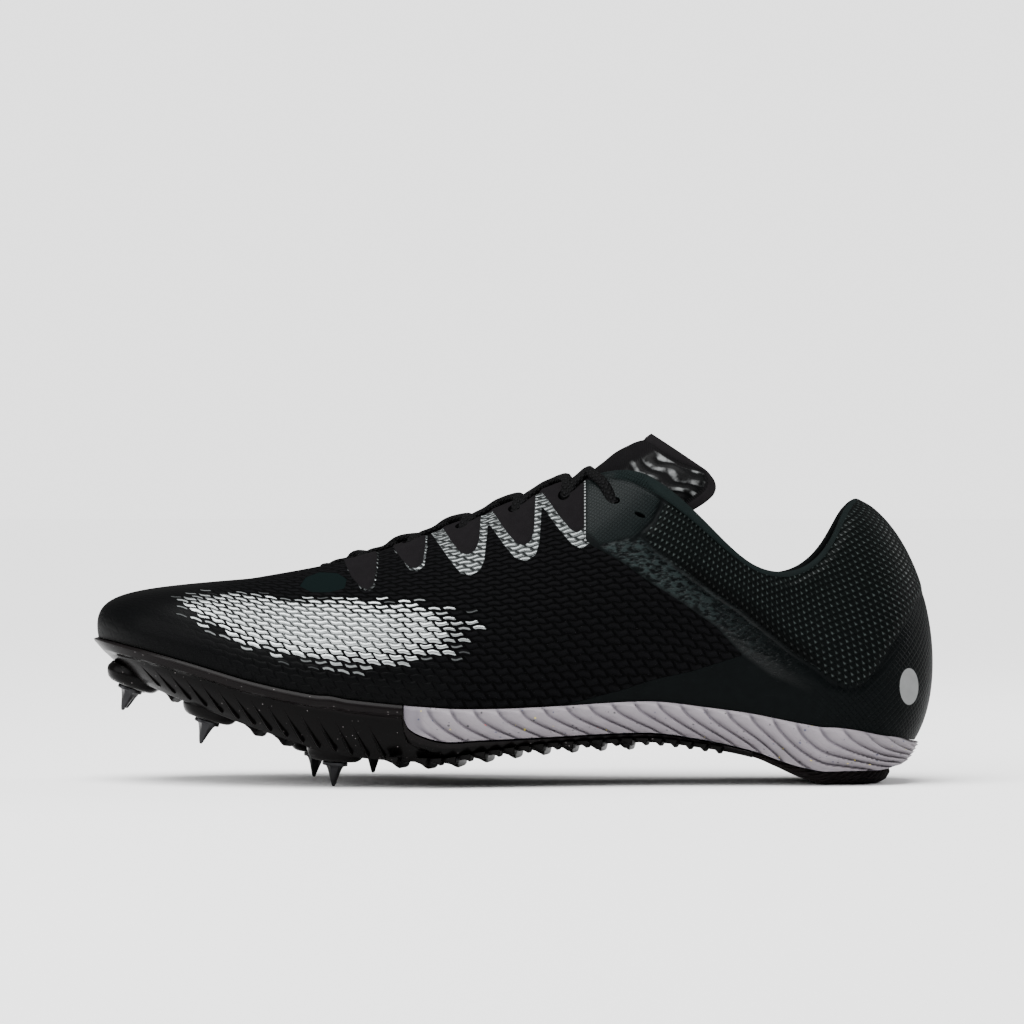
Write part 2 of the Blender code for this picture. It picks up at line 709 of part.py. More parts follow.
def build_midsole(parts, finish):
    start = round_at_foot(FOAM_FRONT + 0.0016)
    shares = np.linspace(-(start), start, FOAM_STEPS)[::-1]
    foot, _ = foot_and_normal(shares)
    along = along_of(foot[:, 0])
    walked = np.concatenate([[0], np.cumsum(np.linalg.norm(np.diff(foot, axis=0), axis=1))])
    from_end = np.minimum(walked, walked[-1] - walked)
    under, top = sole_under(along), sole_top(along)
    split = sole_split(along) + GAP
    low = (split - under) / (top - under)
    levels = []
    for part in (1.0, 0.90, 0.68, 0.44, 0.20, 0.0):
        height = low + (1 - low) * part
        fade = smooth_step(from_end, 0.004, 0.016) * (1.0 if part > 0 else 0.4)
        offset = side_offset(height, "foam") + rib_wave(from_end, height) * fade
        levels.append(sole_point(shares, height, offset))
    nose = levels[-1][[0, -1], 2].mean()

    def foam_under(x, y, share, left, right):
        return min(float(sole_split(along_of(x))) + GAP, max(left, nose))

    for level in levels:
        level[[0, -1], 0] = level[0][0]
    bm = sole_body(levels, 2, 2, sole_seat, foam_under)
    return mesh_object("midsole", bm, parts, finish)


def build_heel_pad(parts, finish):
    """The rubber under the heel, flat where it meets the floor."""
    front, back = round_at_foot(PAD_FRONT), round_at_foot(PAD_FRONT)
    shares = np.linspace(-back, front, PAD_STEPS)[::-1]
    foot, normal = foot_and_normal(shares)
    levels = []
    for part, inset in ((1.0, 0.47), (0.55, 0.45), (0.0, 0.60)):
        plan = foot - normal * inset * SOLE_STACK
        plan[:, 0] = np.minimum(plan[:, 0], x_of(PAD_BACK) - (1 - part) * 0.0015)
        plan[[0, -1], 0] = x_of(PAD_FRONT)
        along = along_of(plan[:, 0])
        low, high = sole_under(along), sole_split(along) - GAP
        levels.append(np.column_stack([plan, low + (high - low) * part]))

    def pad_top(x, y, share, left, right):
        return float(sole_split(along_of(x))) - GAP

    bm = sole_body(levels, 2, 2, pad_top, plate_under)
    return mesh_object("heel_pad", bm, parts, finish)


# The upper, the insole and the tongue
def build_upper(parts, cutters, finish):
    shares = np.arange(ROUND_STEPS) / ROUND_STEPS
    rings = [outer_wall(shares, np.full(ROUND_STEPS, up)) for up in WALL_ROWS]
    lining = [inner_wall(shares, np.full(ROUND_STEPS, up)) for up in LINING_ROWS]
    edge_out, edge_in = rings[-1], lining[0]
    middle, reach = (edge_out + edge_in) / 2, np.linalg.norm(edge_out - edge_in, axis=1)[:, None] / 2
    rise = bare_wall(shares, np.ones(ROUND_STEPS)) - bare_wall(shares, np.full(ROUND_STEPS, 0.97))
    rise /= np.linalg.norm(rise, axis=1, keepdims=True)
    half = (edge_out - edge_in) / 2
    for turn in (45, 90, 135):
        angle = math.radians(turn)
        rings.append(middle + half * math.cos(angle) + rise * reach * math.sin(angle) * 0.8)
    upper = mesh_object("upper", ring_of_rings(rings + lining), parts, finish)
    add_boolean(upper, cutter_object("eyelet_punches", eyelet_punches(), cutters), "DIFFERENCE")
    return upper


def eyelet_place(eyelet, side):
    share = round_at_top(eyelet.along, side)
    return share, up_below_top(share, eyelet.below)


def eyelet_punches():
    bm = bmesh.new()
    for eyelet in EYELETS + [SPARE_EYELET]:
        for side in (-1, 1):
            share, up = eyelet_place(eyelet, side)
            centre = Vector(bare_wall(share, up))
            outward = Vector(wall_normal(share, up))
            along_edge = Vector(bare_wall(share + 0.003, up) - bare_wall(share - 0.003, up)).normalized()
            spare = eyelet is SPARE_EYELET
            length = EYELET_LENGTH * (0.6 if spare else 1.0)
            width = EYELET_WIDTH * (0.45 if spare else 1.0)
            place = frame_at(centre, outward, along_edge) @ Matrix.Diagonal((length / width, 1, 1, 1))
            add_cylinder(bm, place, width / 2, -WALL - COLLAR_PAD - 0.002, 0.003, 8)
    return bm


def build_insole(parts, finish):
    """A sheet inside the wall, on the sole, with its sides curled up a little."""
    shares = np.arange(INSOLE_STEPS) / INSOLE_STEPS
    foot, normal = foot_and_normal(shares)
    plan = foot - normal * (WALL + INSOLE_CLEARANCE)
    low = sole_top(along_of(plan[:, 0])) + GAP
    chamfer = INSOLE_THICKNESS * 0.3
    inner = plan - normal * chamfer
    levels = [
        np.column_stack([inner, sole_top(along_of(inner[:, 0])) + GAP + INSOLE_THICKNESS]),
        np.column_stack([plan, low + INSOLE_THICKNESS - chamfer]),
        np.column_stack([plan, low]),
    ]
    bm = bmesh.new()
    grid = [[bm.verts.new(point) for point in level] for level in levels]
    for upper, lower in zip(grid, grid[1:]):
        for i in range(len(upper)):
            j = (i + 1) % len(upper)
            bm.faces.new((upper[i], upper[j], lower[j], lower[i]))

    def seat(x, y, share, left, right):
        return float(sole_top(along_of(x))) + GAP

    def face(x, y, share, left, right):
        return seat(x, y, share, left, right) + INSOLE_THICKNESS

    fill_across(bm, grid[0], 2, face, 2)
    fill_across(bm, grid[-1], 2, seat, 2)
    return mesh_object("insole", bm, parts, finish)


def throat_underside():
    """A search tree of the surface that the tongue lies against: the wall's inner face, bridged over the throat."""
    points, faces = [], []

    def add_grid(grid):
        rows, cols = grid.shape[:2]
        start = len(points)
        points.extend(map(tuple, grid.reshape(-1, 3)))
        for r in range(rows - 1):
            for c in range(cols - 1):
                k = start + r * cols + c
                faces.append((k, k + 1, k + cols + 1, k + cols))

    lateral = np.linspace(round_at_top(0.78, -1), 0.5, 100)
    ups = np.linspace(0.45, 1.0, 22)
    sides = []
    for shares in (lateral, 1.0 - lateral):
        across, level = np.meshgrid(shares, ups, indexing="ij")
        face = inner_wall(across, level, 2 * GAP)
        add_grid(face)
        sides.append(face[:, -1])
    bridge = np.stack([sides[0] + (sides[1] - sides[0]) * k / 8 for k in range(9)], 1)
    add_grid(bridge)
    return BVHTree.FromPolygons(points, faces)


def throat_half(along):
    """Half the width of the throat or collar opening at this share of the length, and its middle."""
    near = bare_wall(round_at_top(along, -1), 1.0)
    far = bare_wall(round_at_top(along, 1), 1.0)
    return (far[1] - near[1]) / 2, (far[1] + near[1]) / 2


def tongue_rows():
    tree = throat_underside()
    shares = np.linspace(-1, 1, 11)
    rows = []
    front_half = throat_half(0.300)[0]
    for row in TONGUE_IN_THROAT:
        half, middle = throat_half(max(row.along, 0.285))
        half = max(half, front_half) * row.half
        line = []
        for s in shares:
            x = float(x_of(row.along + row.sweep * s * s))
            y = middle + half * s
            hit = tree.ray_cast(Vector((x, y, 1.0)), Vector((0, 0, -1)))[0]
            line.append(Vector((x, y, hit.z)))
        rows.append(line)
    throat_top = float(bare_wall(round_at_top(0.598, -1), 1.0)[2])
    for row in TONGUE_FREE:
        half, middle = throat_half(0.665)
        line = []
        for s in shares:
            bend = abs(s) ** TONGUE_BEND
            x = float(x_of(row.along + row.sweep * bend))
            z = throat_top + TONGUE_RISE * (row.lift - row.sag * bend)
            wall = tree.ray_cast(Vector((x, middle, z)), Vector((0, math.copysign(1, s), 0)), half * 1.5)[3]
            reach = min(abs(s) * half * row.half, wall if wall else half)
            line.append(Vector((x, middle + math.copysign(reach, s), z)))
        rows.append(line)
    return np.array([[tuple(point) for point in line] for line in rows])


def build_tongue(parts, finish):
    """One curved pad through the throat, thickest at its free top."""
    face = tongue_rows()
    along_way = np.gradient(face, axis=0)
    across_way = np.gradient(face, axis=1)
    normal = np.cross(along_way, across_way)
    normal /= np.linalg.norm(normal, axis=2, keepdims=True)
    normal *= np.sign(normal[:, :, 2:3])
    thickness = np.full(face.shape[:2], TONGUE_THICKNESS)
    thickness[:, (0, -1)] *= 0.45
    thickness[0] *= 0.5
    back = face - normal * thickness[..., None]
    bm = bmesh.new()
    rows, cols = face.shape[:2]
    front = [[bm.verts.new(point) for point in line] for line in face]
    rear = [[bm.verts.new(point) for point in line] for line in back]
    for grid in (front, rear):
        for r in range(rows - 1):
            for c in range(cols - 1):
                bm.faces.new((grid[r][c], grid[r][c + 1], grid[r + 1][c + 1], grid[r + 1][c]))
    border = (
        [(0, c) for c in range(cols)]
        + [(r, cols - 1) for r in range(1, rows)]
        + [(rows - 1, c) for c in range(cols - 2, -1, -1)]
        + [(r, 0) for r in range(rows - 2, 0, -1)]
    )
    for (r, c), (r2, c2) in zip(border, border[1:] + border[:1]):
        bm.faces.new((front[r][c], front[r2][c2], rear[r2][c2], rear[r][c]))
    return mesh_object("tongue", bm, parts, finish)


# The lace
LACE_RIDE = LACE_THICKNESS / 2 + 3 * GAP


def over_edge(share, up, above=LACE_RIDE):
    """A place of the lace above the wall, and the way its broad side faces there."""
    share, up = np.array(share), np.array(up)
    return np.concatenate([outer_wall(share, up, above), wall_normal(share, up)])


def lace_path(first_side, over):
    """One strand, from the top eyelet on first_side down to the lowest, crossing the throat between eyelets."""
    path = []
    side = first_side
    last = len(EYELETS) - 1
    for k in range(last, -1, -1):
        share, up = eyelet_place(EYELETS[k], side)
        ahead = round_at_top(EYELETS[k].along - LACE_STEP_AHEAD if k < last else LAST_EDGE_ALONG, side)
        if k < last:
            behind = round_at_top(EYELETS[k].along + LACE_STEP_BEHIND, side)
            path.append(over_edge(behind, 0.995))
            path.append(over_edge((behind + share) / 2, (up + 1) / 2))
        path.append(over_edge(share, up, LACE_RIDE * 0.5))
        if k == 0:
            break
        path.append(over_edge((ahead + share) / 2, (up + 1) / 2))
        start = over_edge(ahead, 0.995)
        end = over_edge(round_at_top(EYELETS[k - 1].along + LACE_STEP_BEHIND, -side), 0.995)
        path.append(start)
        hump = LACE_THICKNESS * 0.7 if over == (k % 2 == 0) else 0.0
        path.append((start + end) / 2 + np.array((0, 0, hump, 0, 0, 0)))
        side = -side
    return path


def strand(path):
    """A flat cord with closed ends along the path, its broad side up."""
    path = np.array(path)
    places, outwards = path[:, :3], path[:, 3:]
    ways = np.gradient(places, axis=0)
    bm = bmesh.new()
    rings = []
    for place, outward, way in zip(places, outwards, ways):
        way = Vector(way).normalized()
        side = way.cross(Vector(outward)).normalized()
        up = side.cross(way)
        ring = []
        for across, out in ((1, 0), (0.72, 1), (-0.72, 1), (-1, 0), (-0.72, -1), (0.72, -1)):
            point = Vector(place) + side * across * LACE_WIDTH / 2 + up * out * LACE_THICKNESS / 2
            ring.append(bm.verts.new(point))
        rings.append(ring)
    for one, two in zip(rings, rings[1:]):
        for i in range(len(one)):
            j = (i + 1) % len(one)
            bm.faces.new((one[i], one[j], two[j], two[i]))
    bm.faces.new(rings[0])
    bm.faces.new(rings[-1])
    return bm


def build_lace(parts, cutters, finish):
    """Two strands that cross over the tongue, joined by the bar between the lowest eyelets."""
    first = lace_path(-1, True)
    second = lace_path(1, False)
    corners = [over_edge(round_at_top(BAR_ALONG, side), 0.99) for side in (-1, 1)]
    bar = [first[-1], corners[1], (corners[0] + corners[1]) / 2, corners[0], second[-1]]
    if (first[-1][1] < second[-1][1]) == (corners[0][1] < corners[1][1]):
        bar[1], bar[3] = bar[3], bar[1]
    lace = mesh_object("lace", strand(first + bar[1:4] + [second[-1]]), parts, finish)
    add_boolean(lace, cutter_object("lace_second", strand(second), cutters), "UNION")
    return lace


# The spikes
def spike_mesh():
    """A turned spike with its seat at the origin, its tip down and its shank up."""
    low = -SPIKE_FLANGE_HEIGHT - GAP
    profile = (
        (0.0, SPIKE_SHANK_LENGTH),
        (SPIKE_SHANK_RADIUS, SPIKE_SHANK_LENGTH),
        (SPIKE_SHANK_RADIUS, -GAP),
        (SPIKE_FLANGE_RADIUS, -GAP),
        (SPIKE_FLANGE_RADIUS, low),
        (SPIKE_BASE_RADIUS, low),
        (SPIKE_TIP_RADIUS, low - SPIKE_CONE_LENGTH),
        (0.0, low - SPIKE_CONE_LENGTH),
    )
    bm = bmesh.new()
    verts = [bm.verts.new((radius, 0.0, z)) for radius, z in profile]
    for a, b in zip(verts, verts[1:]):
        bm.edges.new((a, b))
    mesh = bpy.data.meshes.new("spike")
    bm.to_mesh(mesh)
    bm.free()
    return mesh


def build_spikes(parts, finish):
    mesh = spike_mesh()
    mesh.materials.append(finish)
    for spike in SPIKES:
        seat, down = spike_axis(spike)
        made = bpy.data.objects.new(spike.name, mesh)
        parts.objects.link(made)
        made.matrix_world = frame_at(seat, -down)
        turn = made.modifiers.new("turn", "SCREW")
        turn.steps = turn.render_steps = 8
        turn.use_merge_vertices = True
        turn.merge_threshold = 0.00001
        turn.use_smooth_shade = False


def stand_on_origin(parts):
    """Moves every piece so that the origin is the middle of the shoe's box, on the floor."""
    bpy.context.view_layer.update()
    graph = bpy.context.evaluated_depsgraph_get()
    corners = []
    for piece in parts.objects:
        shape = piece.evaluated_get(graph)
        mesh = shape.to_mesh()
        corners.extend(shape.matrix_world @ vert.co for vert in mesh.vertices)
        shape.to_mesh_clear()
    places = np.array([tuple(corner) for corner in corners])
    low, high = places.min(axis=0), places.max(axis=0)
    shift = Vector((-(low[0] + high[0]) / 2, -(low[1] + high[1]) / 2, -low[2]))
    for piece in list(parts.objects) + list(bpy.data.collections["cutters"].objects):
        piece.matrix_world = Matrix.Translation(shift) @ piece.matrix_world
    return shift


def main():
    for old in list(bpy.data.objects):
        bpy.data.objects.remove(old)
    parts = new_collection("track_spike_shoe")
    cutters = new_collection("cutters")
    build_plate(parts, cutters, material("plate_plastic", PLATE_BLACK))
    build_midsole(parts, material("midsole_foam", FOAM_LILAC))
    build_heel_pad(parts, material("heel_rubber", RUBBER_BLACK))
    build_upper(parts, cutters, material("upper_knit", KNIT_BLACK))
    build_insole(parts, material("insole_cloth", INSOLE_BLACK))
    build_tongue(parts, material("tongue_cloth", TONGUE_BLACK))
    build_lace(parts, cutters, material("lace_cord", LACE_BLACK))
    build_spikes(parts, material("spike_steel", SPIKE_STEEL))
    stand_on_origin(parts)


main()
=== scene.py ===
"""The looks of the track spike shoe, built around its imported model.

Metres, +Z up, toe to -X, the outer side of the foot to -Y. The shoe's own curves are the ones of its
source: "along" is a share of the length from the toe, "round" goes round the shoe from the heel, and "up"
from the sole to the collar.
"""

import math
from collections import namedtuple

import bmesh
import bpy
import numpy as np
from mathutils import Matrix, Vector
from mathutils.bvhtree import BVHTree
from mathutils.kdtree import KDTree


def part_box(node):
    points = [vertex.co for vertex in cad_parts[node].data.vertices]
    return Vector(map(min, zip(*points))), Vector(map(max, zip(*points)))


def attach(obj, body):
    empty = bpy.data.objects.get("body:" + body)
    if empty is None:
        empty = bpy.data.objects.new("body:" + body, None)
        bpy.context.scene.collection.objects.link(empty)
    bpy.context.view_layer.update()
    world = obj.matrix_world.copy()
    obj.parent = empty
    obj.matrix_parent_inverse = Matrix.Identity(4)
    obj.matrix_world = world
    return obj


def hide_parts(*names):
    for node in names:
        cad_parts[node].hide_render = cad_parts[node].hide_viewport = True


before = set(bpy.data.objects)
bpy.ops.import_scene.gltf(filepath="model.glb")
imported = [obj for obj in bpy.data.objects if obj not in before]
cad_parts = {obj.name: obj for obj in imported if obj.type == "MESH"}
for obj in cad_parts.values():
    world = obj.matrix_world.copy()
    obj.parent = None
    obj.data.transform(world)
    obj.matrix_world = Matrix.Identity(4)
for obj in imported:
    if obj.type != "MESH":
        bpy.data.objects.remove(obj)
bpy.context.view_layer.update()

MM = 0.001

# Driving sizes of the shoe
SHOE_LENGTH = 0.285
BALL_WIDTH = 0.095
HEEL_WIDTH = 0.061
COLLAR_HEIGHT = 0.0962
INSTEP_HEIGHT = 0.1055
SOLE_STACK = 0.0190
TOE_SPRING = 0.0325
GAP = 0.0003

# Sizes of the upper
WALL = 0.0020
COLLAR_PAD = 0.0032
COLLAR_ROLL = 0.0009
HEEL_PAD_RELIEF = 0.0012
EYESTAY_RELIEF = 0.0005
MEDIAL_COLLAR_DROP = 0.0008

# Sizes of the spikes and their wells
SPIKE_CONE_LENGTH = 0.0070
SPIKE_BASE_RADIUS = 0.0030
SPIKE_TIP_RADIUS = 0.0005
SPIKE_FLANGE_RADIUS = 0.0043
SPIKE_FLANGE_HEIGHT = 0.0012
SPIKE_SHANK_RADIUS = 0.0022
SPIKE_SHANK_LENGTH = 0.0040
WELL_RADIUS = 0.0068
WELL_HEIGHT = 0.0034
WELL_ROOT = 0.0045

# Sizes of the sole's relief
LUG_HEIGHT = 0.0026
LUG_THICKNESS = 0.0030
RIB_PITCH = 0.0078
RIB_DEPTH = 0.0015

# Sizes of what is inside and on top
INSOLE_THICKNESS = 0.0034
INSOLE_CLEARANCE = 0.0006
TONGUE_THICKNESS = 0.0026
TONGUE_RISE = 0.0125
LACE_WIDTH = 0.0038
LACE_THICKNESS = 0.0021

# One row for each rib of the upper, from heel to toe. The first and last lie on the shoe's back and toe,
# the others are a pair. foot_ is where the rib leaves the sole, top_ where it meets the collar or throat.
# Across values are shares of the local width, heights of the local height; ball blends the two from the
# heel's size to the ball's. swell and rise place the rib's lower handle, reach and drop its upper one, as
# shares of the same width and height.
Rib = namedtuple(
    "Rib",
    "ball foot_along foot_lateral foot_medial top_along top_lateral top_medial top_up swell rise reach drop",
)
RIBS = [
    Rib(0.00, 0.980, 0.000, 0.000, 0.913, 0.000, 0.000, 1.000, 0.218, 0.220, 0.380, 0.125),
    Rib(0.00, 0.965, 0.270, 0.262, 0.899, 0.190, 0.190, 0.955, 0.190, 0.240, 0.300, 0.145),
    Rib(0.00, 0.924, 0.434, 0.418, 0.874, 0.350, 0.350, 0.825, 0.115, 0.255, 0.140, 0.180),
    Rib(0.00, 0.866, 0.500, 0.475, 0.836, 0.445, 0.440, 0.738, 0.080, 0.255, 0.065, 0.200),
    Rib(0.00, 0.793, 0.508, 0.467, 0.786, 0.485, 0.475, 0.752, 0.075, 0.255, 0.055, 0.210),
    Rib(0.00, 0.714, 0.516, 0.451, 0.736, 0.475, 0.465, 0.874, 0.075, 0.270, 0.080, 0.230),
    Rib(0.25, 0.634, 0.489, 0.410, 0.690, 0.380, 0.380, 0.978, 0.070, 0.270, 0.135, 0.240),
    Rib(0.50, 0.553, 0.494, 0.410, 0.645, 0.280, 0.285, 1.033, 0.068, 0.260, 0.180, 0.220),
    Rib(0.80, 0.472, 0.493, 0.431, 0.600, 0.182, 0.200, 1.008, 0.062, 0.230, 0.225, 0.180),
    Rib(1.00, 0.392, 0.495, 0.468, 0.545, 0.126, 0.158, 0.946, 0.060, 0.205, 0.250, 0.140),
    Rib(1.00, 0.312, 0.500, 0.500, 0.480, 0.103, 0.140, 0.876, 0.060, 0.190, 0.265, 0.105),
    Rib(1.00, 0.235, 0.467, 0.489, 0.415, 0.084, 0.126, 0.811, 0.058, 0.180, 0.280, 0.078),
    Rib(1.00, 0.158, 0.392, 0.450, 0.355, 0.062, 0.110, 0.749, 0.054, 0.165, 0.330, 0.056),
    Rib(1.00, 0.086, 0.283, 0.385, 0.309, 0.040, 0.091, 0.708, 0.048, 0.165, 0.440, 0.050),
    Rib(1.00, 0.032, 0.128, 0.285, 0.281, 0.012, 0.065, 0.683, 0.040, 0.168, 0.590, 0.054),
    Rib(1.00, 0.001, -0.105, 0.105, 0.272, -0.030, 0.030, 0.676, 0.034, 0.170, 0.680, 0.055),
]
TOE_RIB = len(RIBS) - 1
RIB_COUNT = 2 * TOE_RIB

# One row for each station of the sole. clear is a share of the ground clearance and lift of the toe spring;
# they give the underside. split, the joint of outsole and foam, and top, the joint with the upper, are
# shares of the sole stack above it.
Station = namedtuple("Station", "along clear lift split top")
STATIONS = [
    Station(0.000, 1.00, 1.000, 0.24, 0.240),
    Station(0.030, 1.00, 0.800, 0.51, 0.510),
    Station(0.067, 1.00, 0.655, 0.64, 0.640),
    Station(0.127, 1.00, 0.455, 0.75, 0.750),
    Station(0.187, 1.00, 0.270, 0.81, 0.810),
    Station(0.247, 1.00, 0.095, 0.91, 0.910),
    Station(0.280, 1.00, 0.012, 0.98, 0.985),
    Station(0.310, 0.88, 0.000, 1.00, 1.010),
    Station(0.368, 0.75, 0.000, 0.99, 1.000),
    Station(0.372, 0.745, 0.000, 0.80, 0.998),
    Station(0.378, 0.74, 0.000, 0.60, 0.990),
    Station(0.392, 0.73, 0.000, 0.47, 0.980),
    Station(0.415, 0.72, 0.000, 0.37, 0.960),
    Station(0.463, 0.88, 0.000, 0.28, 0.840),
    Station(0.510, 1.03, 0.000, 0.21, 0.760),
    Station(0.560, 1.14, 0.000, 0.17, 0.725),
    Station(0.655, 1.23, 0.000, 0.165, 0.735),
    Station(0.727, 1.05, 0.000, 0.14, 0.740),
    Station(0.785, 0.77, 0.000, 0.11, 0.790),
    Station(0.810, 0.52, 0.000, 0.13, 0.870),
    Station(0.840, 0.20, 0.000, 0.19, 0.980),
    Station(0.870, 0.00, 0.000, 0.24, 1.040),
    Station(0.930, 0.00, 0.000, 0.25, 0.900),
    Station(0.955, 0.13, 0.000, 0.24, 0.757),
    Station(0.975, 0.45, 0.000, 0.16, 0.480),
    Station(0.985, 0.80, 0.000, 0.12, 0.260),
]
FOAM_FRONT = 0.3715
PLATE_END = 0.782
PAD_FRONT = 0.798

# The sole's side: how far it stands out from the upper's outline, in sole stacks, at shares of its height.
Side = namedtuple("Side", "height plate foam")
SIDES = [
    Side(1.00, 0.03, 0.03),
    Side(0.93, 0.080, 0.075),
    Side(0.80, 0.070, 0.090),
    Side(0.55, 0.02, 0.040),
    Side(0.30, -0.08, -0.110),
    Side(0.14, -0.17, -0.220),
    Side(0.00, -0.30, -0.430),
]

# Spikes: along, and across as a share of the local half width, lateral side negative. tip_up is the tip's
# height above the floor, None where the spike follows the sole. A sunk spike has no boss, the others sit on
# a boss.
Spike = namedtuple("Spike", "name along across tip_up sunk")
SPIKES = [
    Spike("spike_toe_lateral", 0.047, -0.28, None, False),
    Spike("spike_toe_medial", 0.047, 0.44, None, False),
    Spike("spike_fore_lateral", 0.142, -0.52, None, False),
    Spike("spike_fore_medial", 0.138, 0.55, None, False),
    Spike("spike_ball_medial", 0.262, 0.60, 0.0, False),
    Spike("spike_ball_lateral", 0.292, -0.62, 0.0, False),
    Spike("spike_ball_rear", 0.334, 0.02, 0.0030, True),
]

# Eyelets from the toe to the collar: where on the throat or collar line each hangs, and how far below it.
Eyelet = namedtuple("Eyelet", "along below")
EYELETS = [
    Eyelet(0.296, 0.0052),
    Eyelet(0.338, 0.0066),
    Eyelet(0.398, 0.0070),
    Eyelet(0.459, 0.0072),
    Eyelet(0.520, 0.0074),
    Eyelet(0.577, 0.0076),
    Eyelet(0.634, 0.0112),
]
SPARE_EYELET = Eyelet(0.662, 0.0125)
LAST_EDGE_ALONG = 0.596
BAR_ALONG = 0.2815
LACE_STEP_AHEAD = 0.0105
LACE_STEP_BEHIND = 0.0063

# One row for each cross row of the tongue. half is a share of the throat's half width there, sweep a share
# of the shoe's length by which its sides lie further back, and sag a share of the tongue's rise by which
# they lie lower. lift is a share of the same rise, by which the middle stands above the throat's top.
TongueRow = namedtuple("TongueRow", "along half sweep sag lift")
TONGUE_IN_THROAT = [
    TongueRow(0.250, 1.05, 0.000, 0.0, 0.0),
    TongueRow(0.285, 1.60, 0.000, 0.0, 0.0),
    TongueRow(0.330, 1.70, 0.000, 0.0, 0.0),
    TongueRow(0.380, 1.70, 0.000, 0.0, 0.0),
    TongueRow(0.430, 1.65, 0.000, 0.0, 0.0),
    TongueRow(0.480, 1.55, 0.002, 0.0, 0.0),
    TongueRow(0.525, 1.35, 0.010, 0.0, 0.0),
    TongueRow(0.560, 1.08, 0.030, 0.0, 0.0),
]
TONGUE_FREE = [
    TongueRow(0.590, 0.70, 0.072, 1.24, -0.06),
    TongueRow(0.6065, 0.74, 0.084, 1.46, 0.30),
    TongueRow(0.6235, 0.79, 0.089, 1.54, 0.62),
    TongueRow(0.641, 0.83, 0.088, 1.50, 0.83),
    TongueRow(0.655, 0.85, 0.085, 1.38, 0.99),
    TongueRow(0.6655, 0.87, 0.078, 1.24, 1.15),
]
TONGUE_BEND = 1.5

INSOLE_STEPS = 72


# Curves that the whole shoe shares
def smooth_step(value, start, end):
    share = np.clip((np.asarray(value, float) - start) / (end - start), 0.0, 1.0)
    return share * share * (3 - 2 * share)


def column(rows, name):
    return np.array([getattr(row, name) for row in rows], float)


def curve_between(places, values, slopes, i, place):
    """The smooth curve from value i to the next one, with the given slope at each."""
    width = places[i + 1] - places[i]
    t = (place - places[i]) / width
    return (
        (1 + 2 * t) * (1 - t) ** 2 * values[i]
        + t * (1 - t) ** 2 * width * slopes[i]
        + t * t * (3 - 2 * t) * values[i + 1]
        + t * t * (t - 1) * width * slopes[i + 1]
    )


def smooth_table(places, values, place):
    """A smooth curve through a table's values, which never overshoots between two rows."""
    place = np.clip(np.asarray(place, float), places[0], places[-1])
    widths = np.diff(places)
    slopes = np.diff(values) / widths
    before, after = slopes[:-1], slopes[1:]
    same_way = before * after > 0
    inner = np.where(same_way, 2 * before * after / np.where(same_way, before + after, 1.0), 0.0)
    tangents = np.concatenate([slopes[:1], inner, slopes[-1:]])
    i = np.clip(np.searchsorted(places, place) - 1, 0, len(widths) - 1)
    return curve_between(places, values, tangents, i, place)


def walked_along(points):
    """How far each point lies along its line, from the first one. In a grid, each column is a line."""
    steps = np.linalg.norm(np.diff(points, axis=0), axis=-1)
    return np.concatenate([np.zeros_like(steps[:1]), np.cumsum(steps, axis=0)])


def loop_controls(values):
    """Control points of the closed cubic curve that passes through the given values."""
    one = np.eye(len(values))
    return np.linalg.solve((4 * one + np.roll(one, 1, 0) + np.roll(one, -1, 0)) / 6, values)


def loop_at(controls, round_share):
    count = len(controls)
    place = (np.asarray(round_share, float) % 1.0) * count
    i = np.floor(place).astype(int)
    f = (place - i)[..., None]
    weights = (
        (1 - f) ** 3,
        3 * f**3 - 6 * f**2 + 4,
        -3 * f**3 + 3 * f**2 + 3 * f + 1,
        f**3,
    )
    return sum(weight / 6 * controls[(i + k - 1) % count] for k, weight in enumerate(weights))


def x_of(along):
    return (np.asarray(along, float) - 0.5) * SHOE_LENGTH


def along_of(x):
    return np.asarray(x, float) / SHOE_LENGTH + 0.5


# The sole's heights
SPIKE_REACH = SPIKE_FLANGE_HEIGHT + SPIKE_CONE_LENGTH + GAP
GROUND_CLEARANCE = SPIKE_REACH + WELL_HEIGHT
STATION_ALONG = column(STATIONS, "along")


def station_value(name, along):
    return smooth_table(STATION_ALONG, column(STATIONS, name), along)


def sole_under(along):
    return station_value("clear", along) * GROUND_CLEARANCE + station_value("lift", along) * TOE_SPRING


def sole_split(along):
    return sole_under(along) + station_value("split", along) * SOLE_STACK


def sole_top(along):
    return sole_under(along) + station_value("top", along) * SOLE_STACK


# The upper's own surface
def rib_loop():
    """Each rib in metres, once round the shoe: foot x and y, top x, y and z, and its two handles."""
    rows = []
    for i in range(RIB_COUNT):
        lateral = i <= TOE_RIB
        rib = RIBS[i if lateral else RIB_COUNT - i]
        width = HEEL_WIDTH + (BALL_WIDTH - HEEL_WIDTH) * rib.ball
        height = COLLAR_HEIGHT + (INSTEP_HEIGHT - COLLAR_HEIGHT) * rib.ball
        foot_y = -rib.foot_lateral if lateral else rib.foot_medial
        top_y = -rib.top_lateral if lateral else rib.top_medial
        collar = 0.0 if lateral else math.exp(-(((rib.top_along - 0.80) / 0.07) ** 2))
        rows.append(
            (
                x_of(rib.foot_along),
                foot_y * width,
                x_of(rib.top_along),
                top_y * width,
                rib.top_up * height - collar * MEDIAL_COLLAR_DROP,
                rib.swell * width,
                rib.rise * height,
                rib.reach * width,
                rib.drop * height,
            )
        )
    return np.array(rows, float)


RIB_CONTROLS = loop_controls(rib_loop())
HANDLE_TURN = 0.18 * BALL_WIDTH
STEP = 1e-4


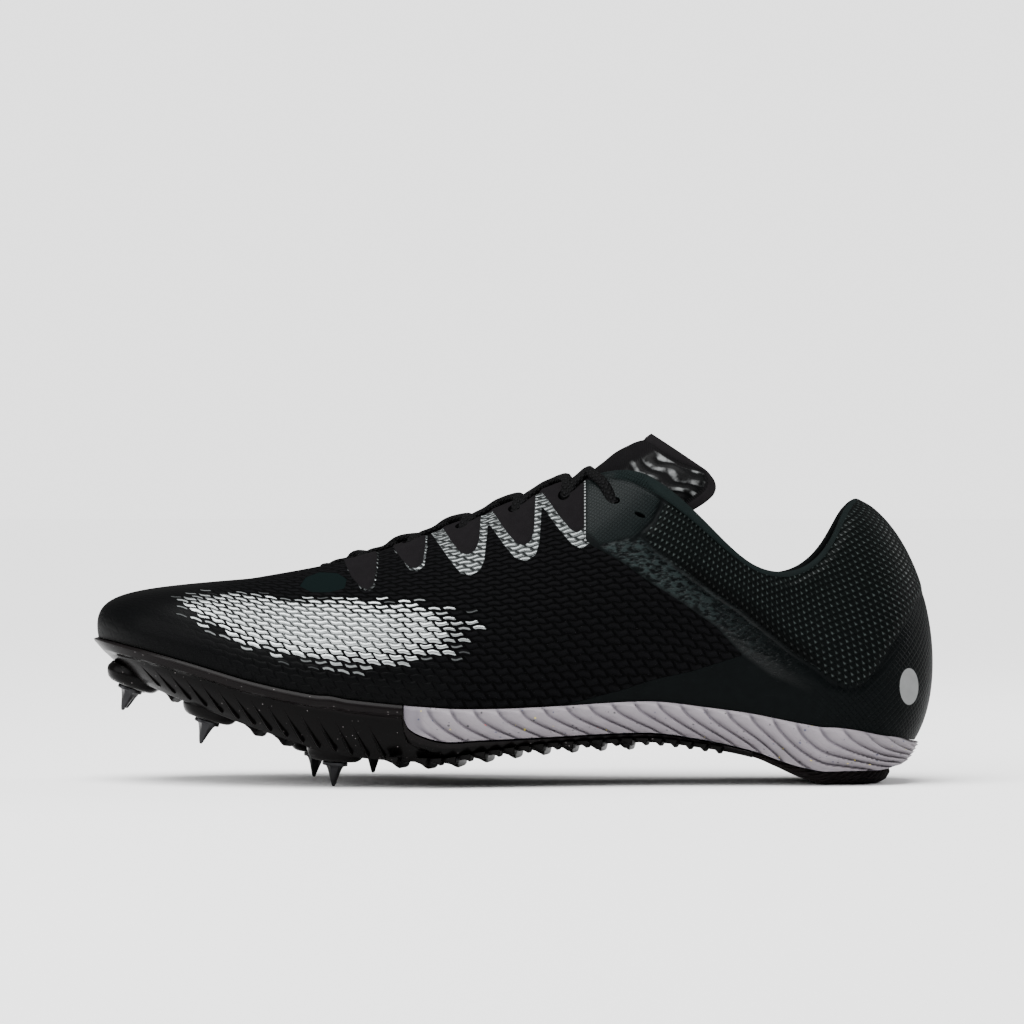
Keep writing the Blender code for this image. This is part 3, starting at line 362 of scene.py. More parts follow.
def foot_and_normal(round_share):
    """The upper's lower edge in plan, and the outward normal there."""
    foot = loop_at(RIB_CONTROLS, round_share)[..., :2]
    ahead = loop_at(RIB_CONTROLS, np.asarray(round_share) + STEP)[..., :2]
    behind = loop_at(RIB_CONTROLS, np.asarray(round_share) - STEP)[..., :2]
    way = ahead - behind
    way /= np.linalg.norm(way, axis=-1, keepdims=True)
    return foot, np.stack([-way[..., 1], way[..., 0]], -1)


def bare_wall(round_share, up):
    """The upper's outer surface before any relief. up is 0 at the sole and 1 at the collar or throat."""
    rib = loop_at(RIB_CONTROLS, round_share)
    foot, normal = foot_and_normal(round_share)
    top = rib[..., 2:4]
    way = foot - top + normal * HANDLE_TURN
    way /= np.linalg.norm(way, axis=-1, keepdims=True)
    foot_z = sole_top(along_of(foot[..., 0])) + GAP
    low = foot + normal * rib[..., 5:6]
    high = top + way * rib[..., 7:8]
    points = [
        np.concatenate([foot, foot_z[..., None]], -1),
        np.concatenate([low, (foot_z + rib[..., 6])[..., None]], -1),
        np.concatenate([high, (rib[..., 4] - rib[..., 8])[..., None]], -1),
        rib[..., 2:5],
    ]
    t = np.asarray(up, float)[..., None]
    return (
        points[0] * (1 - t) ** 3
        + points[1] * 3 * t * (1 - t) ** 2
        + points[2] * 3 * t * t * (1 - t)
        + points[3] * t**3
    )


def wall_normal(round_share, up):
    round_share, up = np.broadcast_arrays(np.asarray(round_share, float), np.asarray(up, float))
    low, high = np.clip(up - 0.01, 0, 1), np.clip(up + 0.01, 0, 1)
    along_rib = bare_wall(round_share, high) - bare_wall(round_share, low)
    around = bare_wall(round_share + STEP, up) - bare_wall(round_share - STEP, up)
    normal = np.cross(along_rib, around)
    return normal / np.linalg.norm(normal, axis=-1, keepdims=True)


def collar_share(round_share):
    """1 at the ribs that end on the collar, 0 at those that end on the throat."""
    from_heel = np.abs((np.asarray(round_share, float) + 0.5) % 1.0 - 0.5) * RIB_COUNT
    return 1 - smooth_step(from_heel, 6.6, 8.4)


def relief(round_share, up):
    """Steps in the wall's outer face: the rolled edge of the collar and the padded heel quarter."""
    up = np.asarray(up, float)
    roll = smooth_step(up, 0.94, 0.962) * collar_share(round_share)
    from_heel = np.abs((np.asarray(round_share, float) + 0.5) % 1.0 - 0.5) * RIB_COUNT
    pad_floor = 0.30 + 0.62 * smooth_step(from_heel, 2.0, 7.2)
    pad = smooth_step(up, pad_floor, pad_floor + 0.12) * (1 - smooth_step(up, 0.86, 0.94))
    quarter = HEEL_PAD_RELIEF * pad * (1 - smooth_step(from_heel, 5.8, 7.4))
    eyestay = EYESTAY_RELIEF * smooth_step(up, 0.78, 0.86) * smooth_step(from_heel, 7.0, 8.0)
    return COLLAR_ROLL * roll + quarter + eyestay * (1 - smooth_step(from_heel, 13.6, 14.6))


def wall_thickness(round_share, up):
    return WALL + COLLAR_PAD * collar_share(round_share) * smooth_step(up, 0.40, 0.82)


def outer_wall(round_share, up, above=0.0):
    face = bare_wall(round_share, up)
    return face + wall_normal(round_share, up) * (relief(round_share, up) + above)[..., None]


def inner_wall(round_share, up, below=0.0):
    face = bare_wall(round_share, up)
    return face - wall_normal(round_share, up) * (wall_thickness(round_share, up) + below)[..., None]


def round_at_top(along, side):
    """Where round the shoe the collar or throat line reaches this share of the length. side is -1 or +1."""
    shares = np.linspace(0.0, 0.5, 601)
    tops = along_of(loop_at(RIB_CONTROLS, shares)[:, 2])
    share = np.interp(-along, -tops, shares)
    return share if side < 0 else 1.0 - share


def round_at_foot(along):
    """Where round the shoe the upper's foot reaches this share of the length, on the lateral side."""
    shares = np.linspace(0.0, 0.5, 601)
    feet = along_of(loop_at(RIB_CONTROLS, shares)[:, 0])
    return np.interp(-along, -feet, shares)


def up_below_top(round_share, distance):
    """The height share on a rib that lies this far down from its upper end."""
    shares = np.linspace(1.0, 0.3, 141)
    face = bare_wall(np.full(len(shares), round_share), shares)
    walked = walked_along(face)
    return float(np.interp(distance, walked, shares))


def side_offset(height, kind):
    places = column(SIDES, "height")[::-1]
    return smooth_table(places, column(SIDES, kind)[::-1], height) * SOLE_STACK


def sole_point(round_share, height, offset, floor=sole_under):
    """A point on the sole's side: height is the share between its underside and its top."""
    foot, normal = foot_and_normal(round_share)
    plan = foot + normal * np.asarray(offset)[..., None]
    low = floor(along_of(plan[..., 0]))
    high = sole_top(along_of(foot[..., 0]))
    z = low + (high - low) * height
    return np.concatenate([plan, z[..., None]], -1)


def round_on(along, side):
    """Where round the shoe this share of the length lies on one side, at the foot of the upper."""
    share = float(round_at_foot(along))
    return share if side < 0 else 1.0 - share


def half_width_at(along):
    foot, _ = foot_and_normal(round_at_foot(along))
    mate, _ = foot_and_normal(1.0 - round_at_foot(along))
    return (mate[1] - foot[1]) / 2, (mate[1] + foot[1]) / 2


def plate_top(along):
    return np.where(np.asarray(along) < FOAM_FRONT, sole_top(along), sole_split(along) - GAP)


def spike_axis(spike):
    """The spike's seat on its well and the unit vector from the seat to the tip."""
    slope = float(sole_under(spike.along + 0.012) - sole_under(spike.along - 0.012)) / (0.024 * SHOE_LENGTH)
    lean = math.atan(slope) * (0.85 if spike.tip_up is None else 0.35)
    down = Vector((math.sin(lean), 0.0, -math.cos(lean)))
    half, middle = half_width_at(spike.along)
    base = Vector((float(x_of(spike.along)), middle + half * spike.across, float(sole_under(spike.along))))
    seat = base + down * WELL_HEIGHT
    if spike.tip_up is not None:
        seat.z = spike.tip_up + SPIKE_REACH * math.cos(lean) + SPIKE_TIP_RADIUS * abs(math.sin(lean))
    return seat, down


def frame_at(place, z_way, x_hint=Vector((1, 0, 0))):
    z_way = Vector(z_way).normalized()
    y_way = z_way.cross(x_hint).normalized()
    x_way = y_way.cross(z_way)
    return Matrix.Translation(place) @ Matrix((x_way, y_way, z_way)).transposed().to_4x4()


LUG_COUNT = 17
LUG_START = 0.095
LUG_STEP = 0.0335
LUG_ACROSS = (0.24, 0.62)
SPIKE_CLEARANCE = WELL_RADIUS * 2.2


def lug_rows():
    """Fins in slanted pairs under the plate, away from the spikes: along, across and slant of each."""
    spots = []
    for k in range(LUG_COUNT):
        along = LUG_START + LUG_STEP * k
        half, middle = half_width_at(along)
        for side in (-1, 1):
            for across in LUG_ACROSS:
                spot = Vector((float(x_of(along + 0.010 * across)), middle + side * across * half, 0.0))
                if all((spot.xy - spike_axis(s)[0].xy).length > SPIKE_CLEARANCE for s in SPIKES):
                    spots.append((spot, side, 0.155 * half))
    return spots


def eyelet_place(eyelet, side):
    share = round_at_top(eyelet.along, side)
    return share, up_below_top(share, eyelet.below)


def throat_underside():
    """A search tree of what the tongue lies against: the wall's inner face, bridged over the throat."""
    points, faces = [], []

    def add_grid(grid):
        rows, cols = grid.shape[:2]
        start = len(points)
        points.extend(map(tuple, grid.reshape(-1, 3)))
        for r in range(rows - 1):
            for c in range(cols - 1):
                k = start + r * cols + c
                faces.append((k, k + 1, k + cols + 1, k + cols))

    lateral = np.linspace(round_at_top(0.78, -1), 0.5, 100)
    ups = np.linspace(0.45, 1.0, 22)
    sides = []
    for shares in (lateral, 1.0 - lateral):
        across, level = np.meshgrid(shares, ups, indexing="ij")
        face = inner_wall(across, level, 2 * GAP)
        add_grid(face)
        sides.append(face[:, -1])
    bridge = np.stack([sides[0] + (sides[1] - sides[0]) * k / 8 for k in range(9)], 1)
    add_grid(bridge)
    return BVHTree.FromPolygons(points, faces)


def throat_half(along):
    """Half the width of the throat or collar opening at this share of the length, and its middle."""
    near = bare_wall(round_at_top(along, -1), 1.0)
    far = bare_wall(round_at_top(along, 1), 1.0)
    return (far[1] - near[1]) / 2, (far[1] + near[1]) / 2


def tongue_rows():
    tree = throat_underside()
    shares = np.linspace(-1, 1, 11)
    rows = []
    front_half = throat_half(0.300)[0]
    for row in TONGUE_IN_THROAT:
        half, middle = throat_half(max(row.along, 0.285))
        half = max(half, front_half) * row.half
        line = []
        for s in shares:
            x = float(x_of(row.along + row.sweep * s * s))
            y = middle + half * s
            hit = tree.ray_cast(Vector((x, y, 1.0)), Vector((0, 0, -1)))[0]
            line.append(Vector((x, y, hit.z)))
        rows.append(line)
    throat_top = float(bare_wall(round_at_top(0.598, -1), 1.0)[2])
    for row in TONGUE_FREE:
        half, middle = throat_half(0.665)
        line = []
        for s in shares:
            bend = abs(s) ** TONGUE_BEND
            x = float(x_of(row.along + row.sweep * bend))
            z = throat_top + TONGUE_RISE * (row.lift - row.sag * bend)
            wall = tree.ray_cast(Vector((x, middle, z)), Vector((0, math.copysign(1, s), 0)), half * 1.5)[3]
            reach = min(abs(s) * half * row.half, wall if wall else half)
            line.append(Vector((x, middle + math.copysign(reach, s), z)))
        rows.append(line)
    return np.array([[tuple(point) for point in line] for line in rows])


LACE_RIDE = LACE_THICKNESS / 2 - GAP
LACE_DIP = 0.012
VIEW_DISTANCE = 1.62
VIEW_HEIGHT = 0.0919
OUTLINE_SCALE = 0.975


def over_edge(share, up, above=LACE_RIDE):
    """A place of the lace above the wall, and the way its broad side faces there."""
    share, up = np.array(share), np.array(up)
    return np.concatenate([outer_wall(share, up, above), wall_normal(share, up)])


def lace_path(first_side, over):
    """One strand, from the top eyelet on first_side down to the lowest, crossing at each pair."""
    path = []
    side = first_side
    last = len(EYELETS) - 1
    for k in range(last, -1, -1):
        share, up = eyelet_place(EYELETS[k], side)
        ahead = round_at_top(EYELETS[k].along - LACE_STEP_AHEAD if k < last else LAST_EDGE_ALONG, side)
        if k < last:
            behind = round_at_top(EYELETS[k].along + LACE_STEP_BEHIND, side)
            path.append(over_edge(behind, 0.995))
            path.append(over_edge((behind + share) / 2, (up + 1) / 2))
        path.append(over_edge(share, up - LACE_DIP, -LACE_THICKNESS * 0.45))
        if k == 0:
            break
        path.append(over_edge((ahead + share) / 2, (up + 1) / 2))
        start = over_edge(ahead, 0.995)
        end = over_edge(round_at_top(EYELETS[k - 1].along + LACE_STEP_BEHIND, -side), 0.995)
        path.append(start)
        hump = LACE_THICKNESS * 0.7 if over == (k % 2 == 0) else 0.0
        path.append((start + end) / 2 + np.array((0, 0, hump, 0, 0, 0)))
        side = -side
    return path


# Panels of the upper, as outlines in the side view: millimetres from the middle of the shoe, and up from
# the floor
FILM = [
    (24.0, 119.2), (24.0, 82.2), (36.0, 75.6), (46.3, 68.2), (56.3, 61.9), (68.0, 53.6), (76.6, 44.3),
    (59.6, 38.9), (47.6, 36.3), (36.0, 32.6), (16.0, 27.3), (-4.0, 21.3), (-24.0, 13.3), (-24.0, -4.1),
    (145.9, -4.1), (145.9, 119.2),
]
QUARTER = [
    (43.6, 84.6), (47.6, 79.6), (56.3, 73.2), (66.6, 65.9), (76.0, 59.6), (84.3, 52.9), (93.6, 45.3),
    (101.3, 40.3), (106.6, 35.9), (112.9, 33.9), (117.9, 35.9), (121.9, 41.3), (126.6, 48.9), (130.9, 56.3),
    (135.3, 65.2), (145.9, 75.9), (145.9, 115.9), (62.6, 119.2), (52.0, 95.9), (47.6, 87.9),
]
WRINKLED = [
    (28.0, 80.9), (42.6, 83.9), (47.6, 79.6), (56.3, 73.2), (76.0, 59.6), (93.6, 45.3), (106.6, 35.9),
    (99.3, 31.3), (86.0, 37.3), (76.6, 44.3), (68.0, 53.6), (56.3, 61.9), (46.3, 68.2), (36.0, 75.6),
]
DOTTED = [
    (24.7, 105.9), (24.7, 85.2), (29.3, 80.9), (41.3, 83.9), (46.6, 89.2), (49.3, 95.9), (42.6, 105.9),
]
OVAL_PATCH = [
    (-70.6, 67.2), (-68.6, 70.2), (-64.0, 71.9), (-58.0, 71.6), (-55.0, 69.6), (-55.6, 66.6), (-60.6, 65.2),
    (-66.6, 65.2),
]
TAB_0 = [
    (-56.0, 75.9), (-53.3, 70.2), (-50.3, 66.9), (-48.0, 66.2), (-46.0, 67.9), (-45.0, 73.9), (-44.6, 82.6),
    (-54.0, 82.6),
]
TAB_1 = [
    (-42.0, 83.9), (-39.6, 80.2), (-36.6, 75.9), (-34.0, 73.2), (-31.7, 72.9), (-29.7, 74.6), (-28.7, 80.9),
    (-28.3, 90.9), (-40.6, 89.2),
]
TAB_2 = [
    (-27.3, 91.9), (-24.0, 87.6), (-20.0, 81.9), (-17.0, 78.2), (-14.7, 77.6), (-12.3, 78.9), (-11.0, 81.9),
    (-10.0, 90.9), (-9.3, 99.2), (-24.0, 95.9),
]
TAB_3 = [
    (-9.3, 95.9), (-6.0, 91.2), (-2.0, 85.6), (1.3, 81.6), (4.0, 80.6), (6.3, 82.2), (7.3, 85.6), (8.0, 95.9),
    (8.7, 103.2), (-7.3, 100.9),
]
TAB_4 = [
    (8.0, 100.6), (12.0, 95.6), (16.0, 90.2), (19.7, 85.9), (21.7, 84.9), (24.0, 86.6), (24.0, 115.9),
    (9.3, 105.9),
]


# Where the source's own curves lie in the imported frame
def frame_shift():
    shares = np.arange(INSOLE_STEPS) / INSOLE_STEPS
    foot, normal = foot_and_normal(shares)
    plan = foot - normal * (WALL + INSOLE_CLEARANCE)
    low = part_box("insole")[0]
    return np.array((low.x - plan[:, 0].min(), low.y - plan[:, 1].min(), 0.0))


SHIFT = frame_shift()


# Meshes
def grid_faces(rows, cols, closed_across=False, closed_down=False):
    """Quads of a grid of points that are numbered row by row."""
    r = np.arange(rows if closed_down else rows - 1)
    c = np.arange(cols if closed_across else cols - 1)
    down, across = np.meshgrid(r, c, indexing="ij")
    next_down, next_across = (down + 1) % rows, (across + 1) % cols
    here, beside = down * cols + across, down * cols + next_across
    below, beside_below = next_down * cols + across, next_down * cols + next_across
    return np.stack([here, beside, beside_below, below], -1).reshape(-1, 4).tolist()


def mesh_of(name, points, faces, fields=None):
    """A mesh from unshifted points, with a value of each field at every point."""
    mesh = bpy.data.meshes.new(name)
    mesh.from_pydata((np.asarray(points, float) + SHIFT).tolist(), [], faces)
    for field, values in (fields or {}).items():
        made = mesh.attributes.new(field, "FLOAT", "POINT")
        made.data.foreach_set("value", np.asarray(values, np.float32).ravel())
    return mesh


def finished(bm, mesh, turn_out=True):
    """Writes a bmesh into a mesh, with its normals outward."""
    if turn_out:
        bmesh.ops.recalc_face_normals(bm, faces=bm.faces)
    bm.to_mesh(mesh)
    bm.free()
    return mesh


def outward(mesh):
    bm = bmesh.new()
    bm.from_mesh(mesh)
    return finished(bm, mesh)


def closed_rings(name, rings):
    """A mesh through rings of points, closed at both ends."""
    bm = bmesh.new()
    rings = [[bm.verts.new(point) for point in ring] for ring in rings]
    for one, two in zip(rings, rings[1:]):
        for i in range(len(one)):
            j = (i + 1) % len(one)
            bm.faces.new((one[i], one[j], two[j], two[i]))
    bm.faces.new(rings[0])
    bm.faces.new(rings[-1])
    return finished(bm, bpy.data.meshes.new(name))


def in_scene(name, data):
    made = bpy.data.objects.new(name, data)
    bpy.context.scene.collection.objects.link(made)
    return made


def shown(name, mesh, finish, replaced=(), sharp=None, turn_out=True):
    """Shows a mesh as a piece that rides on the shoe."""
    if turn_out:
        outward(mesh)
    mesh.shade_smooth()
    if sharp:
        mesh.set_sharp_from_angle(angle=math.radians(sharp))
    made = in_scene(name, mesh)
    if finish:
        mesh.materials.clear()
        mesh.materials.append(finish)
    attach(made, "root")
    if replaced:
        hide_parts(*replaced)
    return made


def evaluated_mesh(source):
    """The mesh of an object with its modifiers applied; the object is removed."""
    bpy.context.view_layer.update()
    graph = bpy.context.evaluated_depsgraph_get()
    mesh = bpy.data.meshes.new_from_object(source.evaluated_get(graph))
    bpy.data.objects.remove(source)
    return mesh


# Flat outlines on the side of the shoe
def side_place(points):
    """Where a point shows in the side view, in millimetres: from the middle of the shoe, and up."""
    placed = points + SHIFT
    near = OUTLINE_SCALE / (1 - np.abs(placed[..., 1]) / VIEW_DISTANCE)
    return placed[..., 0] * near / MM, ((placed[..., 2] - VIEW_HEIGHT) * near + VIEW_HEIGHT) / MM


def from_line(x, z, ax, az, bx, bz):
    """How far the points lie from the line between two places, and how far along it as a share."""
    wx, wz = bx - ax, bz - az
    t = np.clip(((x - ax) * wx + (z - az) * wz) / (wx * wx + wz * wz), 0, 1)
    return np.hypot(x - ax - t * wx, z - az - t * wz), t


def outline_distance(outline, x, z):
    """Signed distance in millimetres from a closed outline, negative inside."""
    corners = np.array(outline, float)
    away = np.full(x.shape, 1e9)
    inside = np.zeros(x.shape, bool)
    for (ax, az), (bx, bz) in zip(corners, np.roll(corners, -1, 0)):
        away = np.minimum(away, from_line(x, z, ax, az, bx, bz)[0])
        if az != bz:
            crosses = ((az > z) != (bz > z)) & (x < (bx - ax) * (z - az) / (bz - az) + ax)
            inside ^= crosses
    return np.where(inside, -away, away)


# Node trees
class Tree:
    """Adds nodes to a material or a node group. A socket given as a value is linked, anything else is set."""

    def __init__(self, tree):
        self.tree = tree

    def add(self, kind, out=0, settings=None, **inputs):
        made = self.tree.nodes.new(kind)
        for name, value in (settings or {}).items():
            setattr(made, name, value)
        for name, value in inputs.items():
            self.put(made, name.replace("_", " "), value)
        return made.outputs[out]

    def put(self, made, name, value):
        socket = made.inputs[int(name[2:]) if name.startswith("in") and name[2:].isdigit() else name]
        if isinstance(value, bpy.types.NodeSocket):
            self.tree.links.new(value, socket)
        else:
            socket.default_value = value

    def math(self, operation, *values):
        settings = {"operation": operation}
        return self.add("ShaderNodeMath", settings=settings, **{f"in{i}": v for i, v in enumerate(values)})

    def times(self, one, two):
        return self.math("MULTIPLY", one, two)

    def times_plus(self, one, two, more):
        return self.math("MULTIPLY_ADD", one, two, more)

    def over(self, one, two):
        return self.math("DIVIDE", one, two)

    def plus(self, one, two):
        return self.math("ADD", one, two)

    def minus(self, one, two):
        return self.math("SUBTRACT", one, two)

    def rest(self, share):
        """What the share leaves of one."""
        return self.math("SUBTRACT", 1.0, share)

    def larger(self, one, two):
        return self.math("MAXIMUM", one, two)

    def without_sign(self, value):
        return self.math("ABSOLUTE", value)

    def wave(self, turn):
        return self.math("SINE", turn)

    def ramp(self, value, low, high, to_low=0.0, to_high=1.0):
        """A smooth step of the value."""
        settings = {"interpolation_type": "SMOOTHSTEP"}
        ends = {"From_Min": low, "From_Max": high, "To_Min": to_low, "To_Max": to_high}
        return self.add("ShaderNodeMapRange", settings=settings, Value=value, **ends)

    def blend(self, share, one, two):
        """One colour where share is 0 and the other where it is 1."""
        made = self.tree.nodes.new("ShaderNodeMix")
        made.data_type = "RGBA"
        for index, value in ((0, share), (6, one), (7, two)):
            self.put(made, f"in{index}", value)
        return made.outputs[2]

    def mix(self, share, one, two):
        """The same for plain values."""
        made = self.tree.nodes.new("ShaderNodeMix")
        for index, value in ((0, share), (2, one), (3, two)):
            self.put(made, f"in{index}", value)
        return made.outputs[0]

    def field(self, name):
        return self.add("ShaderNodeAttribute", out=2, settings={"attribute_name": name})

    def object_place(self):
        return self.add("ShaderNodeTexCoord", out=3)

    def cloth_place(self):
        return self.add("ShaderNodeTexCoord", out=2)

    def scaled(self, vector, scale, turn=(0, 0, 0)):
        return self.add("ShaderNodeMapping", Vector=vector, Scale=scale, Rotation=turn)

    def noise(self, vector, scale, detail=3.0, rough=0.5):
        return self.add("ShaderNodeTexNoise", Vector=vector, Scale=scale, Detail=detail, Roughness=rough)

    def parts(self, vector):
        """A vector's x and y."""
        split = self.tree.nodes.new("ShaderNodeSeparateXYZ")
        self.put(split, "Vector", vector)
        return split.outputs[0], split.outputs[1]

    def bump(self, height, distance, strength=1.0, below=None):
        made = self.tree.nodes.new("ShaderNodeBump")
        self.put(made, "Height", height)
        self.put(made, "Distance", distance)
        self.put(made, "Strength", strength)
        if below is not None:
            self.put(made, "Normal", below)
        return made.outputs[0]


def effect(name, inputs, outputs, build):
    """A node group: build gets the tree and its input sockets and returns a value for each output."""
    group = bpy.data.node_groups.new(name, "ShaderNodeTree")
    for label, kind, value in inputs:
        made = group.interface.new_socket(label, in_out="INPUT", socket_type=kind)
        if kind == "NodeSocketFloat":
            made.default_value = value
    for label, kind in outputs:
        group.interface.new_socket(label, in_out="OUTPUT", socket_type=kind)
    tree = Tree(group)
    entry = group.nodes.new("NodeGroupInput")
    leave = group.nodes.new("NodeGroupOutput")
    results = build(tree, *[entry.outputs[label] for label, _, _ in inputs])
    for (label, _), value in zip(outputs, results):
        tree.put(leave, label, value)
    return group


def new_material(name):
    made = bpy.data.materials.new(name)
    made.use_nodes = True
    return made, Tree(made.node_tree), made.node_tree.nodes["Principled BSDF"]


def finish_with(tree, shader, **inputs):
    for name, value in inputs.items():
        tree.put(shader, name.replace("_", " "), value)


# The upper
AROUND = 600
OUTER_ROWS = 112
LINING_ROWS = 26
TABS = (TAB_0, TAB_1, TAB_2, TAB_3, TAB_4)
TAB_SHIFTS = ((0.2, -0.2), (0.3, -0.5), (0.6, -5.6), (0.4, -3.6), (1.2, -3.4))
TAB_BANDS = (0.25, 0.3, 1.2, 1.4, 1.6)
HEEL_DOT = (131.9, 33.9, 3.1, 6.1)
# The rolled edge's share of the wall's height, and how far each form stands up or lies in
ROLL_SHARE = 0.034
ROLL_RELIEF = 0.9 * MM
SEAM_DEPTH = 0.8 * MM
HEM_DEPTH = 0.45 * MM
PUCKER_HEIGHT = 0.10 * MM
# The same for the tabs and the film, in millimetres
TAB_RELIEF = 0.55
FILM_RELIEF = 0.18
CREASES = [
    # x and z of each end in millimetres, half width and depth of a soft fold across the vamp and the quarter
    (-52.0, 74.0, -34.0, 44.0, 5.0, -0.45),
    (-36.0, 78.0, -20.0, 46.0, 6.0, 0.35),
    (-22.0, 70.0, -8.0, 38.0, 5.0, -0.35),
    (48.0, 78.0, 96.0, 40.0, 3.2, -1.00),
    (60.0, 62.0, 100.0, 34.0, 3.0, 0.45),
    (28.0, 60.0, 60.0, 48.0, 4.0, -0.40),
    (2.0, 58.0, 20.0, 34.0, 6.0, 0.30),
]


def crease_height(x, z):
    """Soft folds at listed places, in metres out of the surface."""
    total = np.zeros(x.shape)
    for ax, az, bx, bz, half, depth in CREASES:
        away, t = from_line(x, z, ax, az, bx, bz)
        total += depth * MM * np.exp(-((away / half) ** 2)) * np.sin(np.pi * np.clip(t, 0.02, 0.98)) ** 0.5
    return total


def panel_fields(points):
    """Signed distances in millimetres from the edges of every panel, for the points of the outer wall."""
    x, z = side_place(points)
    fields = {
        "film": outline_distance(FILM, x, z),
        "quarter": outline_distance(QUARTER, x, z),
        "wrinkled": outline_distance(WRINKLED, x, z),
        "dotted": outline_distance(DOTTED, x, z),
        "oval": outline_distance(OVAL_PATCH, x, z),
        "dot": (np.hypot((x - HEEL_DOT[0]) / HEEL_DOT[2], (z - HEEL_DOT[1]) / HEEL_DOT[3]) - 1) * HEEL_DOT[2],
    }
    tabs = [outline_distance(tab, x, z) for tab in TABS]
    fields["tab"] = np.min(tabs, axis=0)
    bands = []
    for tab, (dx, dz), band in zip(TABS, TAB_SHIFTS, TAB_BANDS):
        bands.append(outline_distance(tab, x - dx, z - dz) - band)
    fields["band"] = np.maximum(np.min(bands, axis=0), -fields["tab"])
    return fields, x, z


def raised(field, height, soft=0.5):
    """A panel that stands proud by this height in millimetres, with a soft edge."""
    return height * MM * smooth_step(-field, -soft / 2, soft)


def upper_mesh():
    shares = np.arange(AROUND) / AROUND
    lower = np.linspace(0, 0.86, OUTER_ROWS - 30)
    upper = np.linspace(0.86, 1.0, 31)[1:]
    ups = np.concatenate([lower, upper])
    face = np.array([bare_wall(shares, np.full(AROUND, up)) for up in ups])
    normal = np.array([wall_normal(shares, np.full(AROUND, up)) for up in ups])
    names, x, z = panel_fields(face)
    from_heel = np.abs((shares + 0.5) % 1.0 - 0.5) * RIB_COUNT
    # The rolled edge is wide beside the tongue and thin round the heel
    ahead = smooth_step(from_heel, 3.6, 6.2)[None, :]
    level = ups[:, None].repeat(AROUND, 1)
    edge_from = 1.0 - ROLL_SHARE * ahead
    names["edge"] = collar_share(shares)[None, :] * smooth_step((level - edge_from) / 0.012, -0.5, 0.5)
    quarter_rise = raised(names["quarter"], HEEL_PAD_RELIEF / MM, 2.4) * (1 - smooth_step(level, 0.93, 0.995))
    quarter_rise *= 0.25 + 0.75 * smooth_step(from_heel, 0.2, 2.2)[None, :]
    at_eyestay = smooth_step(level, 0.78, 0.86) * smooth_step(from_heel, 7.0, 8.0)[None, :]
    at_eyestay *= (1 - smooth_step(from_heel, 13.6, 14.6)[None, :]) * (1 - smooth_step(x, 18.0, 23.5))
    stand = quarter_rise + EYESTAY_RELIEF * at_eyestay
    sunk = -SEAM_DEPTH * np.exp(-((names["quarter"] / 1.3 - 0.9) ** 2)) * smooth_step(level, 0.97, 0.90)
    sunk *= (smooth_step(from_heel, 9.0, 7.6) * (0.15 + 0.85 * smooth_step(from_heel, 0.6, 2.2)))[None, :]
    tabs = raised(names["tab"], TAB_RELIEF) * smooth_step(from_heel, 6.6, 7.2)[None, :]
    film = raised(names["film"], FILM_RELIEF, 0.3)
    # The rolled edge is a round cord of cloth along the collar
    roll = ROLL_RELIEF * np.sin(np.pi * np.clip((level - edge_from) / 0.055, 0, 1) ** 0.7)
    roll *= collar_share(shares)[None, :] * ahead
    folds = crease_height(x, z) * smooth_step(ups, 0.02, 0.12)[:, None]
    folds *= smooth_step(ups, 0.98, 0.88)[:, None]
    hem = -HEM_DEPTH * np.exp(-(((level - edge_from + 0.006) / 0.007) ** 2))
    hem = hem * collar_share(shares)[None, :] * ahead
    wrinkle = wrinkle_height(x, z) * smooth_step(-names["wrinkled"], -0.3, 1.2)
    outer = face + normal * (stand + sunk + tabs + film + roll + folds + hem + wrinkle)[..., None]
    up_length = walked_along(face)
    lining_ups = np.linspace(1.0, 0.0, LINING_ROWS) ** 0.8
    lining = np.array([inner_wall(shares, np.full(AROUND, up)) for up in lining_ups])
    edge_out, edge_in = outer[-1], lining[0]
    rise = bare_wall(shares, np.ones(AROUND)) - bare_wall(shares, np.full(AROUND, 0.97))
    rise /= np.linalg.norm(rise, axis=1, keepdims=True)
    half = (edge_out - edge_in) / 2
    reach = np.linalg.norm(half, axis=1)[:, None]
    rim = []
    for turn in np.linspace(0, math.pi, 10)[1:-1]:
        rim.append((edge_out + edge_in) / 2 + half * math.cos(turn) + rise * reach * math.sin(turn) * 0.8)
    rim = np.array(rim)
    grid = np.concatenate([outer, rim, lining])
    extra = len(rim) + len(lining)
    for name in names:
        values = names[name]
        last = np.repeat(values[-1:], len(rim), axis=0)
        inside = np.full((len(lining), AROUND), 9.0 if name != "edge" else 0.0)
        if name == "edge":
            turned_in = smooth_step(np.linspace(0, 1, len(rim)), 0.12, 0.32)[:, None]
            last = np.maximum(last, turned_in * collar_share(shares)[None, :])
        names[name] = np.concatenate([values, last, inside])
    over_rim = np.linspace(0, 1, len(rim))[:, None].repeat(AROUND, 1)
    names["lining"] = np.concatenate([np.zeros_like(level), over_rim, np.ones((len(lining), AROUND))])
    names["walked"] = np.concatenate([up_length, np.repeat(up_length[-1:], extra, axis=0)]) / MM
    names["below_top"] = up_length[-1][None, :] / MM - names["walked"]
    names["from_heel"] = from_heel[None, :].repeat(len(grid), 0)
    rows_up = height_of_rows(face)
    names["girth"] = np.concatenate([rows_up, np.repeat(rows_up[-1:], extra, axis=0)]) / MM
    girth = face[len(ups) // 3]
    steps = np.linalg.norm(np.roll(girth, -1, 0) - girth, axis=1)
    one_way = np.concatenate([[0], np.cumsum(steps)[:-1]])
    names["around"] = np.minimum(one_way, steps.sum() - one_way)[None, :].repeat(len(grid), 0) / MM
    faces = grid_faces(len(grid), AROUND, True, True)
    return mesh_of("upper_outer", grid.reshape(-1, 3), faces, names)


